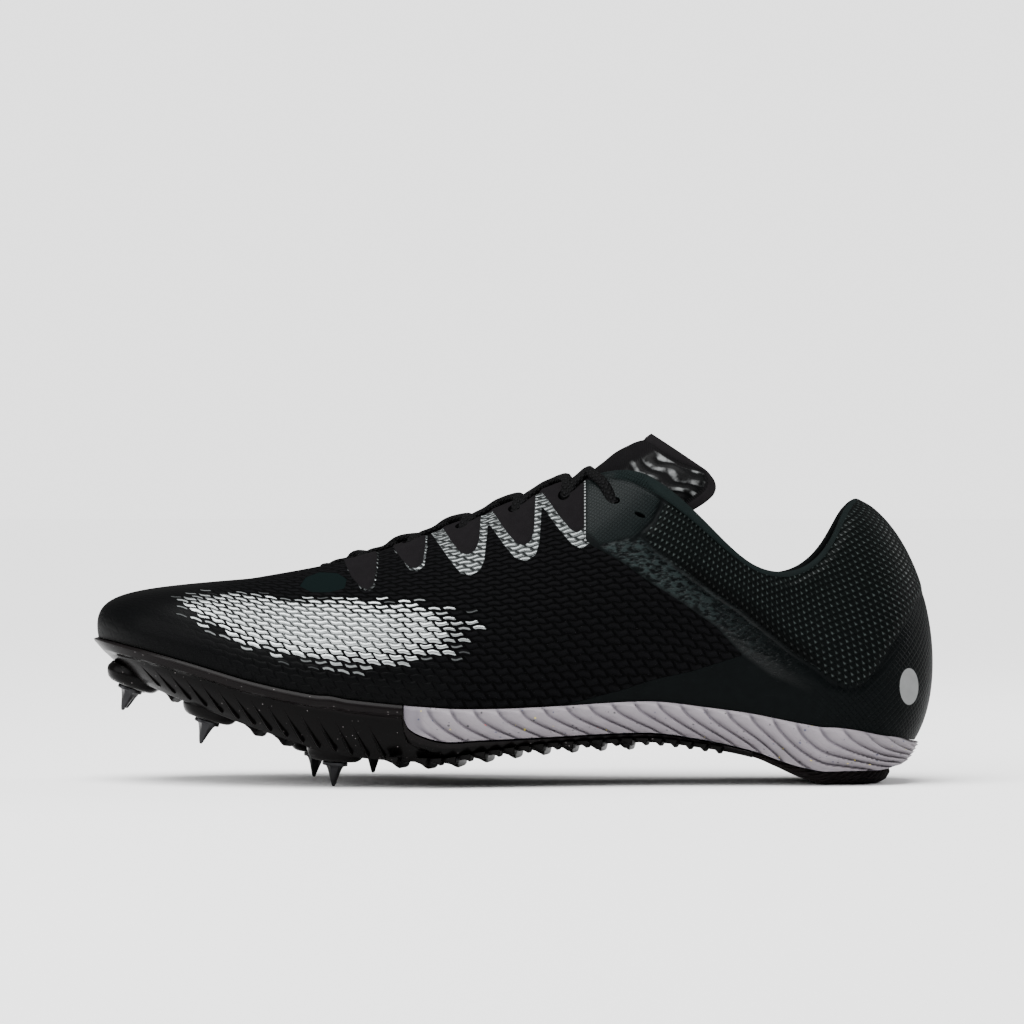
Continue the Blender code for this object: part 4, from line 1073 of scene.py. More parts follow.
def height_of_rows(points):
    """How far each point lies up the wall and in over the top, for the rows of the knit."""
    shares = np.arange(AROUND) / AROUND
    foot, _ = foot_and_normal(shares)
    half = np.zeros(points.shape[:2])
    for side in (-1, 1):
        line = foot[foot[:, 1] * side > 0]
        line = line[np.argsort(line[:, 0])]
        here = points[:, :, 1] * side > 0
        half[here] = np.interp(points[:, :, 0][here], line[:, 0], np.abs(line[:, 1]))
    in_from_edge = half - np.sqrt(points[:, :, 1] ** 2 + 0.003**2)
    return 0.85 * (points[:, :, 2] - sole_top(along_of(points[:, :, 0])) + in_from_edge)


def wrinkle_height(x, z):
    """The fused film's fine puckers behind the knit, in metres."""
    slant = x * 0.80 + z * 0.60
    across = -x * 0.60 + z * 0.80
    wave = np.sin(slant * 2.3 + 1.3 * np.sin(across * 0.9 + 0.4 * x))
    wave *= np.sin(across * 1.7 + 1.1 * np.sin(slant * 0.7))
    return PUCKER_HEIGHT * wave * (1 - smooth_step(x, 80.0, 100.0))


# Each cut's length along the throat's edge and its width: the spare eyelet, the top one and the others
SPARE_CUT = (0.0040, 0.0016)
TOP_CUT = (0.0038, 0.0028)
EYELET_CUT = (0.0044, 0.0058)
EYELET_CUT_DEPTH = 0.012
EYELET_DROP = 0.0014
EYELET_SIDES = 20


def eyelet_cutters():
    bm = bmesh.new()
    for eyelet in EYELETS + [SPARE_EYELET]:
        spare = eyelet is SPARE_EYELET
        top = eyelet is EYELETS[-1]
        length, width = SPARE_CUT if spare else TOP_CUT if top else EYELET_CUT
        for side in (-1, 1):
            share, up = eyelet_place(eyelet, side)
            middle = Vector(bare_wall(share, up))
            if not spare and not top:
                down = Vector(bare_wall(share, up - 0.03) - bare_wall(share, up)).normalized()
                middle += down * EYELET_DROP
            out = Vector(wall_normal(share, up))
            along_edge = Vector(bare_wall(share + 0.003, up) - bare_wall(share - 0.003, up)).normalized()
            place = frame_at(middle, out, along_edge) @ Matrix.Diagonal((length / width, 1, 1, 1))
            bmesh.ops.create_cone(
                bm, cap_ends=True, segments=EYELET_SIDES, radius1=width / 2, radius2=width / 2,
                depth=EYELET_CUT_DEPTH, matrix=place,
            )
    mesh = finished(bm, bpy.data.meshes.new("eyelets"), turn_out=False)
    mesh.transform(Matrix.Translation(SHIFT))
    return mesh


def fill_fields(mesh):
    """Gives the vertices of the cut eyelets the fields of the nearest uncut vertex."""
    fields = [layer for layer in mesh.attributes if layer.domain == "POINT" and layer.data_type == "FLOAT"]
    table = np.zeros((len(fields), len(mesh.vertices)), np.float32)
    for row, layer in zip(table, fields):
        layer.data.foreach_get("value", row)
    blank = np.all(table == 0, axis=0)
    uncut = np.nonzero(~blank)[0]
    near = KDTree(len(uncut))
    for k in uncut:
        near.insert(mesh.vertices[k].co, int(k))
    near.balance()
    for k in np.nonzero(blank)[0]:
        table[:, k] = table[:, near.find(mesh.vertices[k].co)[1]]
    for row, layer in zip(table, fields):
        layer.data.foreach_set("value", np.ascontiguousarray(row))


def build_upper(finish):
    body = in_scene("upper_body", upper_mesh())
    outward(body.data)
    cutter = in_scene("upper_cutter", eyelet_cutters())
    cut = body.modifiers.new("eyelets", "BOOLEAN")
    cut.operation = "DIFFERENCE"
    cut.object = cutter
    cut.solver = "EXACT"
    mesh = evaluated_mesh(body)
    bpy.data.objects.remove(cutter)
    fill_fields(mesh)
    return shown("upper_shell", mesh, finish, ("upper",), sharp=50, turn_out=False)


# The sole
def loft(name, sides, top_way, bottom_way, crossings=6, cap_front=True, fields=None):
    """A solid of the sole from its side wall.

    sides holds rows from the top edge down and columns from the lateral front round to the medial front. Each
    lateral column is joined to its medial partner across the top and the bottom.
    """
    count = sides.shape[1]
    half = count // 2
    rings, ring_fields = [], {key: [] for key in fields or {}}
    inner = np.arange(1, crossings) / crossings
    for i in range(half + 1):
        a, b = sides[:, i], sides[:, count - 1 - i]
        bottom = a[-1] + (b[-1] - a[-1]) * inner[:, None]
        top = b[0] + (a[0] - b[0]) * inner[:, None]
        bottom[:, 2] = bottom_way(bottom, a[-1], b[-1])
        top[:, 2] = top_way(top, b[0], a[0])
        rings.append(np.concatenate([a, bottom, b[::-1], top]))
        for key, values in (fields or {}).items():
            low = np.full(len(inner), values[-1, i])
            high = np.full(len(inner), values[0, i])
            ring_fields[key].append(np.concatenate([values[:, i], low, values[::-1, count - 1 - i], high]))
    rings = np.array(rings)
    faces = grid_faces(len(rings), rings.shape[1], True)
    if cap_front:
        faces.append(list(range(rings.shape[1])))
    mesh = mesh_of(name, rings.reshape(-1, 3), faces, {key: np.array(v) for key, v in ring_fields.items()})
    bm = bmesh.new()
    bm.from_mesh(mesh)
    bmesh.ops.remove_doubles(bm, verts=bm.verts, dist=2e-6)
    return finished(bm, mesh)


FOAM_ROWS = 34
FOAM_COLUMNS = 1500


def foam_wave(distance, along, height):
    """The foam's slanted scales: each swells slowly towards the heel and drops at its own sharp edge."""
    lean = 0.60 + 0.95 * smooth_step(along, 0.82, 0.97)
    slant = 1.15 * (1 - height) + 0.55 * (1 - height) ** 3 + 0.10 * np.sin(height * 6.3)
    slant = slant * SOLE_STACK * lean * 1.25
    phase = (distance - slant) / RIB_PITCH % 1.0
    scale = np.where(phase < 0.86, (phase / 0.86) ** 1.3 - 0.5, 0.5 - smooth_step(phase, 0.86, 1.0))
    return scale * RIB_DEPTH * 1.25 * smooth_step(height, 1.0, 0.86), phase


def midsole_mesh():
    start = round_at_foot(FOAM_FRONT + 0.0016)
    shares = np.linspace(-start, start, FOAM_COLUMNS)[::-1]
    foot, _ = foot_and_normal(shares)
    along = along_of(foot[:, 0])
    walked = walked_along(foot)
    from_end = np.minimum(walked, walked[-1] - walked)
    under, top = sole_under(along), sole_top(along)
    low = (sole_split(along) + GAP - under) / (top - under)
    rows, grooves = [], []
    for part in np.concatenate([[1.0, 0.985, 0.965], np.linspace(0.94, 0.0, FOAM_ROWS)]):
        height = low + (1 - low) * part
        fade = smooth_step(from_end, 0.003, 0.012) * (1.0 if part > 0.02 else 0.4)
        wave, phase = foam_wave(from_end, along, height)
        nose = smooth_step(from_end, 0.0, 0.0045)
        at_back = smooth_step(along, 0.950, 0.990)
        offset = side_offset(height, "foam") * (0.35 + 0.65 * nose) + wave * fade
        offset = offset - at_back * (0.0014 + 0.0013 * smooth_step(part, 0.80, 1.0))
        rows.append(sole_point(shares, height, offset))
        grooves.append(np.where(phase > 0.5, phase - 1.0, phase) * fade)
    for row in rows:
        row[[0, -1], 0] = rows[0][0, 0]

    def foam_under(points, one, other):
        return np.minimum(sole_split(along_of(points[:, 0])) + GAP, max(one[2], rows[-1][[0, -1], 2].mean()))

    def foam_top(points, one, other):
        return sole_top(along_of(points[:, 0]))

    fields = {"groove": np.array(grooves)}
    return loft("midsole_foam", np.array(rows), foam_top, foam_under, 6, True, fields)


PLATE_COLUMNS = 900
PLATE_BAND = 0.0034
PLATE_UNDERCUT = 0.0022
PLATE_ROWS = 30


def plate_mesh():
    start = round_at_foot(PLATE_END)
    shares = np.linspace(start, 1 - start, PLATE_COLUMNS + 1)
    foot, _ = foot_and_normal(shares)
    along = along_of(foot[:, 0])
    under = sole_under(along)
    crown = (plate_top(along) - under) / (sole_top(along) - under)
    rows, heights = [], []
    parts = np.concatenate([[1.0, 0.985, 0.96], np.linspace(0.93, 0.0, PLATE_ROWS)])
    for part in parts:
        height = crown * part
        # A band stands proud along the top, and the side steps in below it
        from_top = (1 - part) * (plate_top(along) - under)
        undercut = PLATE_UNDERCUT * smooth_step(from_top, PLATE_BAND, PLATE_BAND + 0.0009)
        undercut *= smooth_step(along, 0.43, 0.36)
        rows.append(sole_point(shares, height, side_offset(height, "plate") - undercut))
        heights.append(np.full(len(shares), part))

    def seat(points, one, other):
        return plate_top(along_of(points[:, 0]))

    def under_way(points, one, other):
        x, y = points[:, 0], points[:, 1]
        rib = 0.35 * MM * np.sin(x / 0.0034) * np.sin(y / 0.0046)
        reach = max(np.linalg.norm(other[:2] - one[:2]), 1e-9)
        share = np.linalg.norm(points[:, :2] - one[:2], axis=1) / reach
        return sole_under(along_of(x)) + rib * np.sin(np.pi * share)

    return loft("plate_body", np.array(rows), seat, under_way, 24, True, {"height": np.array(heights)})


def turned(profile, steps, matrix):
    """A solid turned from a profile of radius and height, in the place that the matrix gives."""
    angles = np.arange(steps) * 2 * math.pi / steps
    points, faces = [], []
    for radius, z in profile:
        points.extend((radius * math.cos(a), radius * math.sin(a), z) for a in angles)
    faces = grid_faces(len(profile), steps, True)
    faces.append(list(range(steps))[::-1])
    faces.append([(len(profile) - 1) * steps + k for k in range(steps)])
    return [tuple(matrix @ Vector(point)) for point in points], faces


def joined(name, shapes):
    points, faces = [], []
    for shape_points, shape_faces in shapes:
        start = len(points)
        points.extend(shape_points)
        faces.extend([[start + k for k in face] for face in shape_faces])
    return mesh_of(name, np.array(points), faces)


def boss_mesh():
    """The domed bosses that carry the spikes."""
    shapes = []
    for spike in SPIKES:
        if spike.sunk:
            continue
        seat, down = spike_axis(spike)
        root = -WELL_HEIGHT - WELL_ROOT
        wide, narrow = WELL_RADIUS * 1.45, WELL_RADIUS
        profile = [
            (wide * 0.9, root * 0.8), (wide, root * 0.55), (wide * 0.985, root * 0.40),
            (wide * 0.93, root * 0.24), (wide * 0.86, root * 0.12), (narrow * 1.12, root * 0.045),
            (narrow * 1.02, root * 0.012), (narrow * 0.90, 0.0), (SPIKE_FLANGE_RADIUS * 1.12, 0.0),
            (SPIKE_FLANGE_RADIUS * 1.06, -0.0004), (SPIKE_SHANK_RADIUS + 2 * GAP, -0.0005),
            (SPIKE_SHANK_RADIUS + GAP, -0.0020),
        ]
        shapes.append(turned(profile, 48, frame_at(seat, down)))
    return joined("spike_bosses", shapes)


def lug_unit():
    """One sharp fin: sloped towards the toe, steep towards the heel, with its edges eased."""
    profile = (
        (-1.25, 0.30), (0.55, 0.30), (0.52, 0.0), (0.30, -0.92), (0.20, -1.0), (0.08, -0.96), (-0.45, -0.45),
        (-1.25, -0.06),
    )
    ends = ((-1.0, 0.55), (-0.9, 0.85), (-0.6, 1.0), (0.6, 1.0), (0.9, 0.85), (1.0, 0.55))
    rings = [[(x, y, z if z > 0 else z * size) for x, z in profile] for y, size in ends]
    return closed_rings("lug_unit", rings)


def repeat_tree(name, unit, finish):
    """A node tree that sets a copy of the unit on every point, turned and sized by the point, as one mesh."""
    tree = bpy.data.node_groups.new(name, "GeometryNodeTree")
    tree.interface.new_socket("Geometry", in_out="INPUT", socket_type="NodeSocketGeometry")
    size = tree.interface.new_socket("Size", in_out="INPUT", socket_type="NodeSocketFloat")
    size.default_value = 1.0
    tree.interface.new_socket("Geometry", in_out="OUTPUT", socket_type="NodeSocketGeometry")
    nodes = tree.nodes
    entry, leave = nodes.new("NodeGroupInput"), nodes.new("NodeGroupOutput")
    shape = nodes.new("GeometryNodeObjectInfo")
    shape.inputs["Object"].default_value = unit

    def vector_field(label):
        made = nodes.new("GeometryNodeInputNamedAttribute")
        made.data_type = "FLOAT_VECTOR"
        made.inputs["Name"].default_value = label
        return made.outputs["Attribute"]

    spin = nodes.new("FunctionNodeEulerToRotation")
    scale = nodes.new("ShaderNodeVectorMath")
    scale.operation = "SCALE"
    place = nodes.new("GeometryNodeInstanceOnPoints")
    real = nodes.new("GeometryNodeRealizeInstances")
    paint = nodes.new("GeometryNodeSetMaterial")
    paint.inputs["Material"].default_value = finish
    for start, end in (
        (entry.outputs["Geometry"], place.inputs["Points"]),
        (shape.outputs["Geometry"], place.inputs["Instance"]),
        (vector_field("turn"), spin.inputs[0]),
        (spin.outputs[0], place.inputs["Rotation"]),
        (vector_field("size"), scale.inputs[0]),
        (entry.outputs["Size"], scale.inputs["Scale"]),
        (scale.outputs[0], place.inputs["Scale"]),
        (place.outputs[0], real.inputs[0]),
        (real.outputs[0], paint.inputs["Geometry"]),
        (paint.outputs[0], leave.inputs[0]),
    ):
        tree.links.new(start, end)
    return tree, size.identifier


def repeated(name, unit_mesh, places, sizes, finish, scale=1.0):
    """One mesh of copies of the unit, at the given matrices and sizes."""
    unit = in_scene(name + "_unit", unit_mesh)
    points = [matrix.translation for matrix in places]
    mesh = mesh_of(name + "_points", [tuple(p) for p in points], [])
    for label, values in (("turn", [m.to_euler() for m in places]), ("size", sizes)):
        made = mesh.attributes.new(label, "FLOAT_VECTOR", "POINT")
        made.data.foreach_set("vector", np.array([tuple(v) for v in values], np.float32).ravel())
    carrier = in_scene(name + "_carrier", mesh)
    tree, identifier = repeat_tree(name + "_tree", unit, finish)
    step = carrier.modifiers.new("repeat", "NODES")
    step.node_group = tree
    step[identifier] = scale
    made = evaluated_mesh(carrier)
    bpy.data.objects.remove(unit)
    for attribute in ("turn", "size"):
        if attribute in made.attributes:
            made.attributes.remove(made.attributes[attribute])
    return made


LUG_SLANT = math.radians(14)
FIN_SLANT = math.radians(20)
FIN_HEIGHT = 0.0019
FIN_PITCH = 0.0172


def sole_place(x, y, above, slant):
    """A place on the sole's underside, tilted with its slope and turned by the slant."""
    along = along_of(x)
    base = float(sole_under(along))
    slope = float(sole_under(along + 0.01) - base) / (0.01 * SHOE_LENGTH)
    turn = Matrix.Rotation(-math.atan(slope), 4, "Y") @ Matrix.Rotation(slant, 4, "Z")
    return Matrix.Translation((x, y, base + above)) @ turn


def lug_places():
    places, sizes = [], []
    for spot, side, half_span in lug_rows():
        places.append(sole_place(spot.x, spot.y, 0.0, side * LUG_SLANT))
        sizes.append((LUG_THICKNESS, half_span * 1.02, LUG_HEIGHT))
    return places, sizes


def side_fin_places():
    """Small fins along the plate's lower side. The second place, at the foam's front, stays bare."""
    places, sizes = [], []
    for along in np.delete(np.arange(0.365, 0.745, FIN_PITCH), 1):
        for side in (-1, 1):
            foot, normal = foot_and_normal(round_on(along, side))
            plan = foot + normal * (float(side_offset(0.16, "plate")) - 0.0006)
            places.append(sole_place(float(plan[0]), float(plan[1]), FIN_HEIGHT * 0.55, side * FIN_SLANT))
            sizes.append((0.0024, 0.0022, FIN_HEIGHT))
    return places, sizes


def rib_unit():
    """A slender ridge along x, from a blunt start to a pointed end, its crest towards +y."""
    section = ((-0.6, -1.0), (0.5, -0.55), (1.0, -0.12), (1.0, 0.12), (0.5, 0.55), (-0.6, 1.0))
    ends = ((-1.0, 0.55), (-0.8, 0.9), (-0.2, 1.0), (0.5, 0.95), (0.85, 0.75), (1.0, 0.30))
    return closed_rings("rib_unit", [[(x, y * size, z * size) for y, z in section] for x, size in ends])


def side_rib_places():
    """Slanted ridges on the plate's stepped-in side, from its band down to the lugs."""
    places, sizes = [], []
    for along in np.arange(0.050, 0.350, 0.0200):
        for side in (-1, 1):
            ends = []
            for step, height, inset in ((0.0, 0.66, 0.0024), (0.0215, 0.04, 0.0058)):
                foot, normal = foot_and_normal(round_on(along + step, side))
                plan = foot - normal * inset
                low, high = float(sole_under(along + step)), float(plate_top(along + step))
                ends.append(Vector((plan[0], plan[1], low + (high - low) * height)))
            way = (ends[1] - ends[0]).normalized()
            out = Vector((normal[0], normal[1], -0.35)).normalized()
            across = way.cross(out).normalized()
            out = across.cross(way)
            matrix = Matrix((way, out, across)).transposed().to_4x4()
            places.append(Matrix.Translation((ends[0] + ends[1]) / 2) @ matrix)
            sizes.append(((ends[1] - ends[0]).length / 2, 0.0013, 0.0011))
    return places, sizes


def build_plate(finish):
    """The plate with its bosses, lugs and side fins, as one mesh."""
    bm = bmesh.new()
    units = [plate_mesh(), boss_mesh()]
    units.append(repeated("lugs", lug_unit(), *lug_places(), finish))
    units.append(repeated("side_fins", lug_unit(), *side_fin_places(), finish))
    units.append(repeated("side_ribs", rib_unit(), *side_rib_places(), finish))
    for unit in units:
        bm.from_mesh(unit)
    mesh = finished(bm, bpy.data.meshes.new("plate"))
    return shown("spike_plate", mesh, finish, ("outsole_plate",), sharp=38)


RUBBER_FRONT = PAD_FRONT - 0.0145


def heel_pad_mesh():
    front = round_at_foot(RUBBER_FRONT)
    shares = np.linspace(-front, front, 361)[::-1]
    foot, normal = foot_and_normal(shares)
    walked = walked_along(foot)
    rows = []
    for part in np.linspace(1.0, 0.0, 14):
        inset = np.interp(part, (0.0, 0.12, 0.55, 1.0), (0.62, 0.52, 0.45, 0.47))
        groove = 0.28 * MM * np.sin((walked - part * 0.012) * 2 * math.pi / 0.0042)
        groove *= smooth_step(part, 0.05, 0.2)
        plan = foot + normal * (groove - inset * SOLE_STACK)[:, None]
        plan[:, 0] = np.minimum(plan[:, 0], x_of(0.964) - 0.0050 * (1 - part) ** 1.5)
        plan[[0, -1], 0] = x_of(RUBBER_FRONT)
        along = along_of(plan[:, 0])
        low, high = sole_under(along), sole_split(along) - GAP
        rows.append(np.column_stack([plan, low + (high - low) * part]))

    def pad_top(points, one, other):
        return sole_split(along_of(points[:, 0])) - GAP

    def pad_under(points, one, other):
        x = points[:, 0]
        groove = 0.35 * MM * smooth_step(np.sin(x * 2 * math.pi / 0.0046), 0.72, 0.9)
        return sole_under(along_of(x)) + groove

    return loft("heel_rubber", np.array(rows), pad_top, pad_under, 24, True)


def spike_profile():
    """A spike's outline from the top of its shank to its tip, as radius and height."""
    low = -SPIKE_FLANGE_HEIGHT - GAP
    tip = low - SPIKE_CONE_LENGTH
    base, shank, flange = SPIKE_BASE_RADIUS, SPIKE_SHANK_RADIUS, SPIKE_FLANGE_RADIUS
    return [
        (0.0003, SPIKE_SHANK_LENGTH), (shank * 0.9, SPIKE_SHANK_LENGTH), (shank, SPIKE_SHANK_LENGTH * 0.9),
        (shank, -GAP), (flange * 0.97, -GAP), (flange, -GAP - 0.0002), (flange, low + 0.0003),
        (flange * 0.93, low), (base * 1.08, low), (base * 0.94, low - 0.0004), (base * 0.80, low - 0.0012),
        (base * 0.60, low - 0.0028), (base * 0.42, low - 0.0046), (base * 0.24, tip + 0.0007),
        (SPIKE_TIP_RADIUS, tip + 0.00022), (SPIKE_TIP_RADIUS * 0.6, tip), (0.00008, tip),
    ]


def build_spikes(finish):
    steps = 48
    for spike in SPIKES:
        seat, down = spike_axis(spike)
        points, faces = turned(spike_profile(), steps, Matrix.Identity(4))
        points = np.array(points)
        low = -SPIKE_FLANGE_HEIGHT - GAP
        angle = np.arctan2(points[:, 1], points[:, 0])
        # Six flats for the wrench on the foot of the cone
        flat = np.cos(math.pi / 6) / np.cos((angle + math.pi) % (math.pi / 3) - math.pi / 6)
        at_foot = smooth_step(points[:, 2], low - 0.0034, low - 0.0022) * (points[:, 2] < low + 1e-6) * (
            np.hypot(points[:, 0], points[:, 1]) < SPIKE_BASE_RADIUS * 1.1
        )
        points[:, :2] *= (1 + (flat - 1) * at_foot)[:, None]
        matrix = frame_at(seat, -down)
        placed = [tuple(matrix @ Vector(point)) for point in points]
        mesh = mesh_of(spike.name, placed, faces)
        shown(spike.name + "_pin", mesh, finish, (spike.name,), sharp=30)


# What lies in and on the upper
def resampled(grid, rows, cols):
    """A finer grid through the same points, smooth both ways."""
    r, c = np.arange(grid.shape[0], dtype=float), np.arange(grid.shape[1], dtype=float)
    fine_r, fine_c = np.linspace(0, r[-1], rows), np.linspace(0, c[-1], cols)
    down = np.stack([[smooth_line(r, grid[:, j, k], fine_r) for k in range(3)] for j in range(grid.shape[1])])
    down = down.transpose(2, 0, 1)
    across = np.stack([[smooth_line(c, down[i, :, k], fine_c) for k in range(3)] for i in range(rows)])
    return across.transpose(0, 2, 1)


def smooth_line(places, values, at):
    """A cubic curve through the values, with the slope at each one taken from its neighbours."""
    slopes = np.gradient(values, places)
    i = np.clip(np.searchsorted(places, at, side="right") - 1, 0, len(places) - 2)
    return curve_between(places, values, slopes, i, at)


TONGUE_ROWS = 240
TONGUE_COLUMNS = 120
TONGUE_CORNER = 0.0070
WELT_DEPTH = 0.35 * MM
TOP_PADDING = 0.30 * MM
THROAT_PADDING = 1.3 * MM


def rounded_corners(face):
    """Draws the sides in near the free top, so that its two corners are round."""
    walked = walked_along(face)
    from_top = walked[-1] - walked
    deep = np.clip(1 - from_top / TONGUE_CORNER, 0, 1)
    cut = TONGUE_CORNER * (1 - np.sqrt(1 - deep**2))
    width = np.linalg.norm(np.diff(face, axis=1), axis=2).sum(axis=1)[:, None] / 2
    middle = (face[:, TONGUE_COLUMNS // 2 - 1] + face[:, TONGUE_COLUMNS // 2])[:, None] / 2
    share = np.abs(np.linspace(-1, 1, TONGUE_COLUMNS))[None, :]
    pull = cut[:, :1] / width * smooth_step(share, 0.35, 1.0)
    return face + (middle - face) * pull[..., None]


def build_tongue(finish):
    """The tongue's padded sheet, with a bound edge and a raised welt round its free top."""
    face = rounded_corners(resampled(tongue_rows(), TONGUE_ROWS, TONGUE_COLUMNS))
    along_way, across_way = np.gradient(face, axis=0), np.gradient(face, axis=1)
    normal = np.cross(along_way, across_way)
    normal /= np.linalg.norm(normal, axis=2, keepdims=True)
    normal *= np.sign(normal[:, :, 2:3])
    walked = walked_along(face)
    from_top = (walked[-1] - walked) / MM
    width = walked_along(face.transpose(1, 0, 2)).T
    across = (width - width[:, -1:] / 2) / MM
    from_side = (width[:, -1:] / MM / 2) - np.abs(across)
    edge = np.minimum(from_top, from_side)
    plump = 1 - np.exp(-edge / 2.4)
    free = smooth_step(np.linspace(0, 1, TONGUE_ROWS), 0.60, 0.72)[:, None]
    welt = WELT_DEPTH * np.exp(-(((edge - 3.4) / 0.7) ** 2)) * -free
    padding = TOP_PADDING * smooth_step(edge, 4.0, 7.0) * free
    padding = padding + THROAT_PADDING * smooth_step(edge, 1.5, 12.0) * (1 - free)
    thickness = TONGUE_THICKNESS * (0.45 + 0.55 * plump)
    top = face + normal * (welt + padding)[..., None]
    back = face - normal * thickness[..., None]
    points = np.concatenate([top.reshape(-1, 3), back.reshape(-1, 3)])
    count = TONGUE_ROWS * TONGUE_COLUMNS
    faces = grid_faces(TONGUE_ROWS, TONGUE_COLUMNS)
    faces += [[k + count for k in quad[::-1]] for quad in grid_faces(TONGUE_ROWS, TONGUE_COLUMNS)]
    border = list(range(TONGUE_COLUMNS))
    border += [r * TONGUE_COLUMNS + TONGUE_COLUMNS - 1 for r in range(1, TONGUE_ROWS)]
    border += [(TONGUE_ROWS - 1) * TONGUE_COLUMNS + c for c in range(TONGUE_COLUMNS - 2, -1, -1)]
    border += [r * TONGUE_COLUMNS for r in range(TONGUE_ROWS - 2, 0, -1)]
    faces += [[a, a + count, b + count, b] for a, b in zip(border, border[1:] + border[:1])]
    fields = {"edge": edge, "from_top": from_top, "across": across}
    fields = {name: np.tile(values.ravel(), 2) for name, values in fields.items()}
    fields["backing"] = np.concatenate([np.zeros(count), np.ones(count)])
    mesh = mesh_of("tongue_pad", points, faces, fields)
    piece = shown("tongue_pad", mesh, finish, ("tongue",), sharp=70)
    return piece


LACE_STEPS_A_POINT = 9
BRAID_SWELL = 0.035
BRAID_PITCH = 0.00105


def smooth_path(path, steps=LACE_STEPS_A_POINT):
    """A smooth line through the lace's places, closed at neither end."""
    path = np.array(path)
    walked = walked_along(path[:, :3])
    at = np.linspace(0, walked[-1], len(path) * steps)
    return np.stack([smooth_line(walked, path[:, k], at) for k in range(6)], 1)


def cord_mesh(name, paths, sides=14):
    """Flat round-edged cords along the paths, with how far each point lies along and round the cord."""
    points, faces, walk, turn = [], [], [], []
    for path in paths:
        line = smooth_path(path)
        places, outwards = line[:, :3], line[:, 3:]
        ways = np.gradient(places, axis=0)
        ways /= np.linalg.norm(ways, axis=1, keepdims=True)
        across = np.cross(ways, outwards)
        across /= np.linalg.norm(across, axis=1, keepdims=True)
        up = np.cross(across, ways)
        walked = walked_along(places)
        start = len(points)
        angles = np.arange(sides) * 2 * math.pi / sides
        ripple = 1 + BRAID_SWELL * np.sin(walked / BRAID_PITCH * math.pi)
        for k, place in enumerate(places):
            wide, thick = LACE_WIDTH / 2 * ripple[k] * 0.98, LACE_THICKNESS / 2 * 1.04
            for angle in angles:
                c, s = math.cos(angle), math.sin(angle)
                flat = math.copysign(abs(c) ** 0.8, c), math.copysign(abs(s) ** 0.8, s)
                points.append(place + across[k] * wide * flat[0] + up[k] * thick * flat[1])
                walk.append(walked[k] / MM)
                turn.append(angle / (2 * math.pi))
        faces += [[start + i for i in quad] for quad in grid_faces(len(places), sides, True)]
        faces.append([start + i for i in range(sides)][::-1])
        faces.append([start + (len(places) - 1) * sides + i for i in range(sides)])
    mesh = mesh_of(name, np.array(points), faces, {"walked": walk})
    layer = mesh.uv_layers.new(name="cord")
    for polygon in mesh.polygons:
        turns = [turn[mesh.loops[i].vertex_index] for i in polygon.loop_indices]
        wraps = max(turns) - min(turns) > 0.5
        for i, share in zip(polygon.loop_indices, turns):
            place = share + 1 if wraps and share < 0.5 else share
            layer.data[i].uv = (walk[mesh.loops[i].vertex_index], place)
    return mesh


def build_lace(finish):
    first, second = lace_path(-1, True), lace_path(1, False)
    corners = [over_edge(round_at_top(BAR_ALONG, side), 0.99) for side in (-1, 1)]
    middle = (corners[0] + corners[1]) / 2
    middle[2] += LACE_THICKNESS * 0.2
    one, other = (corners[1], corners[0]) if first[-1][1] > second[-1][1] else (corners[0], corners[1])
    bar = [one, middle, other]
    mesh = cord_mesh("lace_cord", [first + bar + [second[-1]], second])
    return shown("lace_braid", mesh, finish, ("lace",), sharp=80)


INSOLE_AROUND = 420
INSOLE_ACROSS = 12


def build_insole(finish):
    """The sock liner: a soft sheet with a rounded edge, in its place on the sole."""
    count = INSOLE_AROUND
    shares = np.arange(count) / count
    foot, normal = foot_and_normal(shares)
    plan = foot - normal * (WALL + INSOLE_CLEARANCE)
    rings = []
    for inset, lift in ((0.0, 0.0), (-0.0001, 0.5), (0.0003, 0.8), (0.0010, 1.0)):
        ring = plan - normal * inset
        rings.append(np.column_stack([ring, sole_top(along_of(ring[:, 0])) + GAP + INSOLE_THICKNESS * lift]))
    points = [tuple(p) for ring in rings for p in ring]
    faces = grid_faces(len(rings), count, True)
    half = count // 2
    for level, lift in ((0, 0.0), (3, 1.0)):
        rows = []
        for i in range(half + 1):
            a, b = rings[level][i], rings[level][(count - i) % count]
            row = [level * count + i]
            if 0 < i < half:
                for k in range(1, INSOLE_ACROSS):
                    p = a + (b - a) * k / INSOLE_ACROSS
                    p[2] = sole_top(along_of(p[0])) + GAP + INSOLE_THICKNESS * lift
                    row.append(len(points))
                    points.append(tuple(p))
                row.append(level * count + (count - i) % count)
            rows.append(row)
        for one, two in zip(rows, rows[1:]):
            if len(one) == 1 or len(two) == 1:
                tip, edge = (one[0], two) if len(one) == 1 else (two[0], one)
                faces += [[tip, p, q] for p, q in zip(edge, edge[1:])]
            else:
                faces += [[one[k], one[k + 1], two[k + 1], two[k]] for k in range(len(one) - 1)]
    mesh = mesh_of("sock_liner", np.array(points), faces)
    return shown("sock_liner", mesh, finish, ("insole",), sharp=60)


# Finishes
FLOAT, VECTOR = "NodeSocketFloat", "NodeSocketVector"


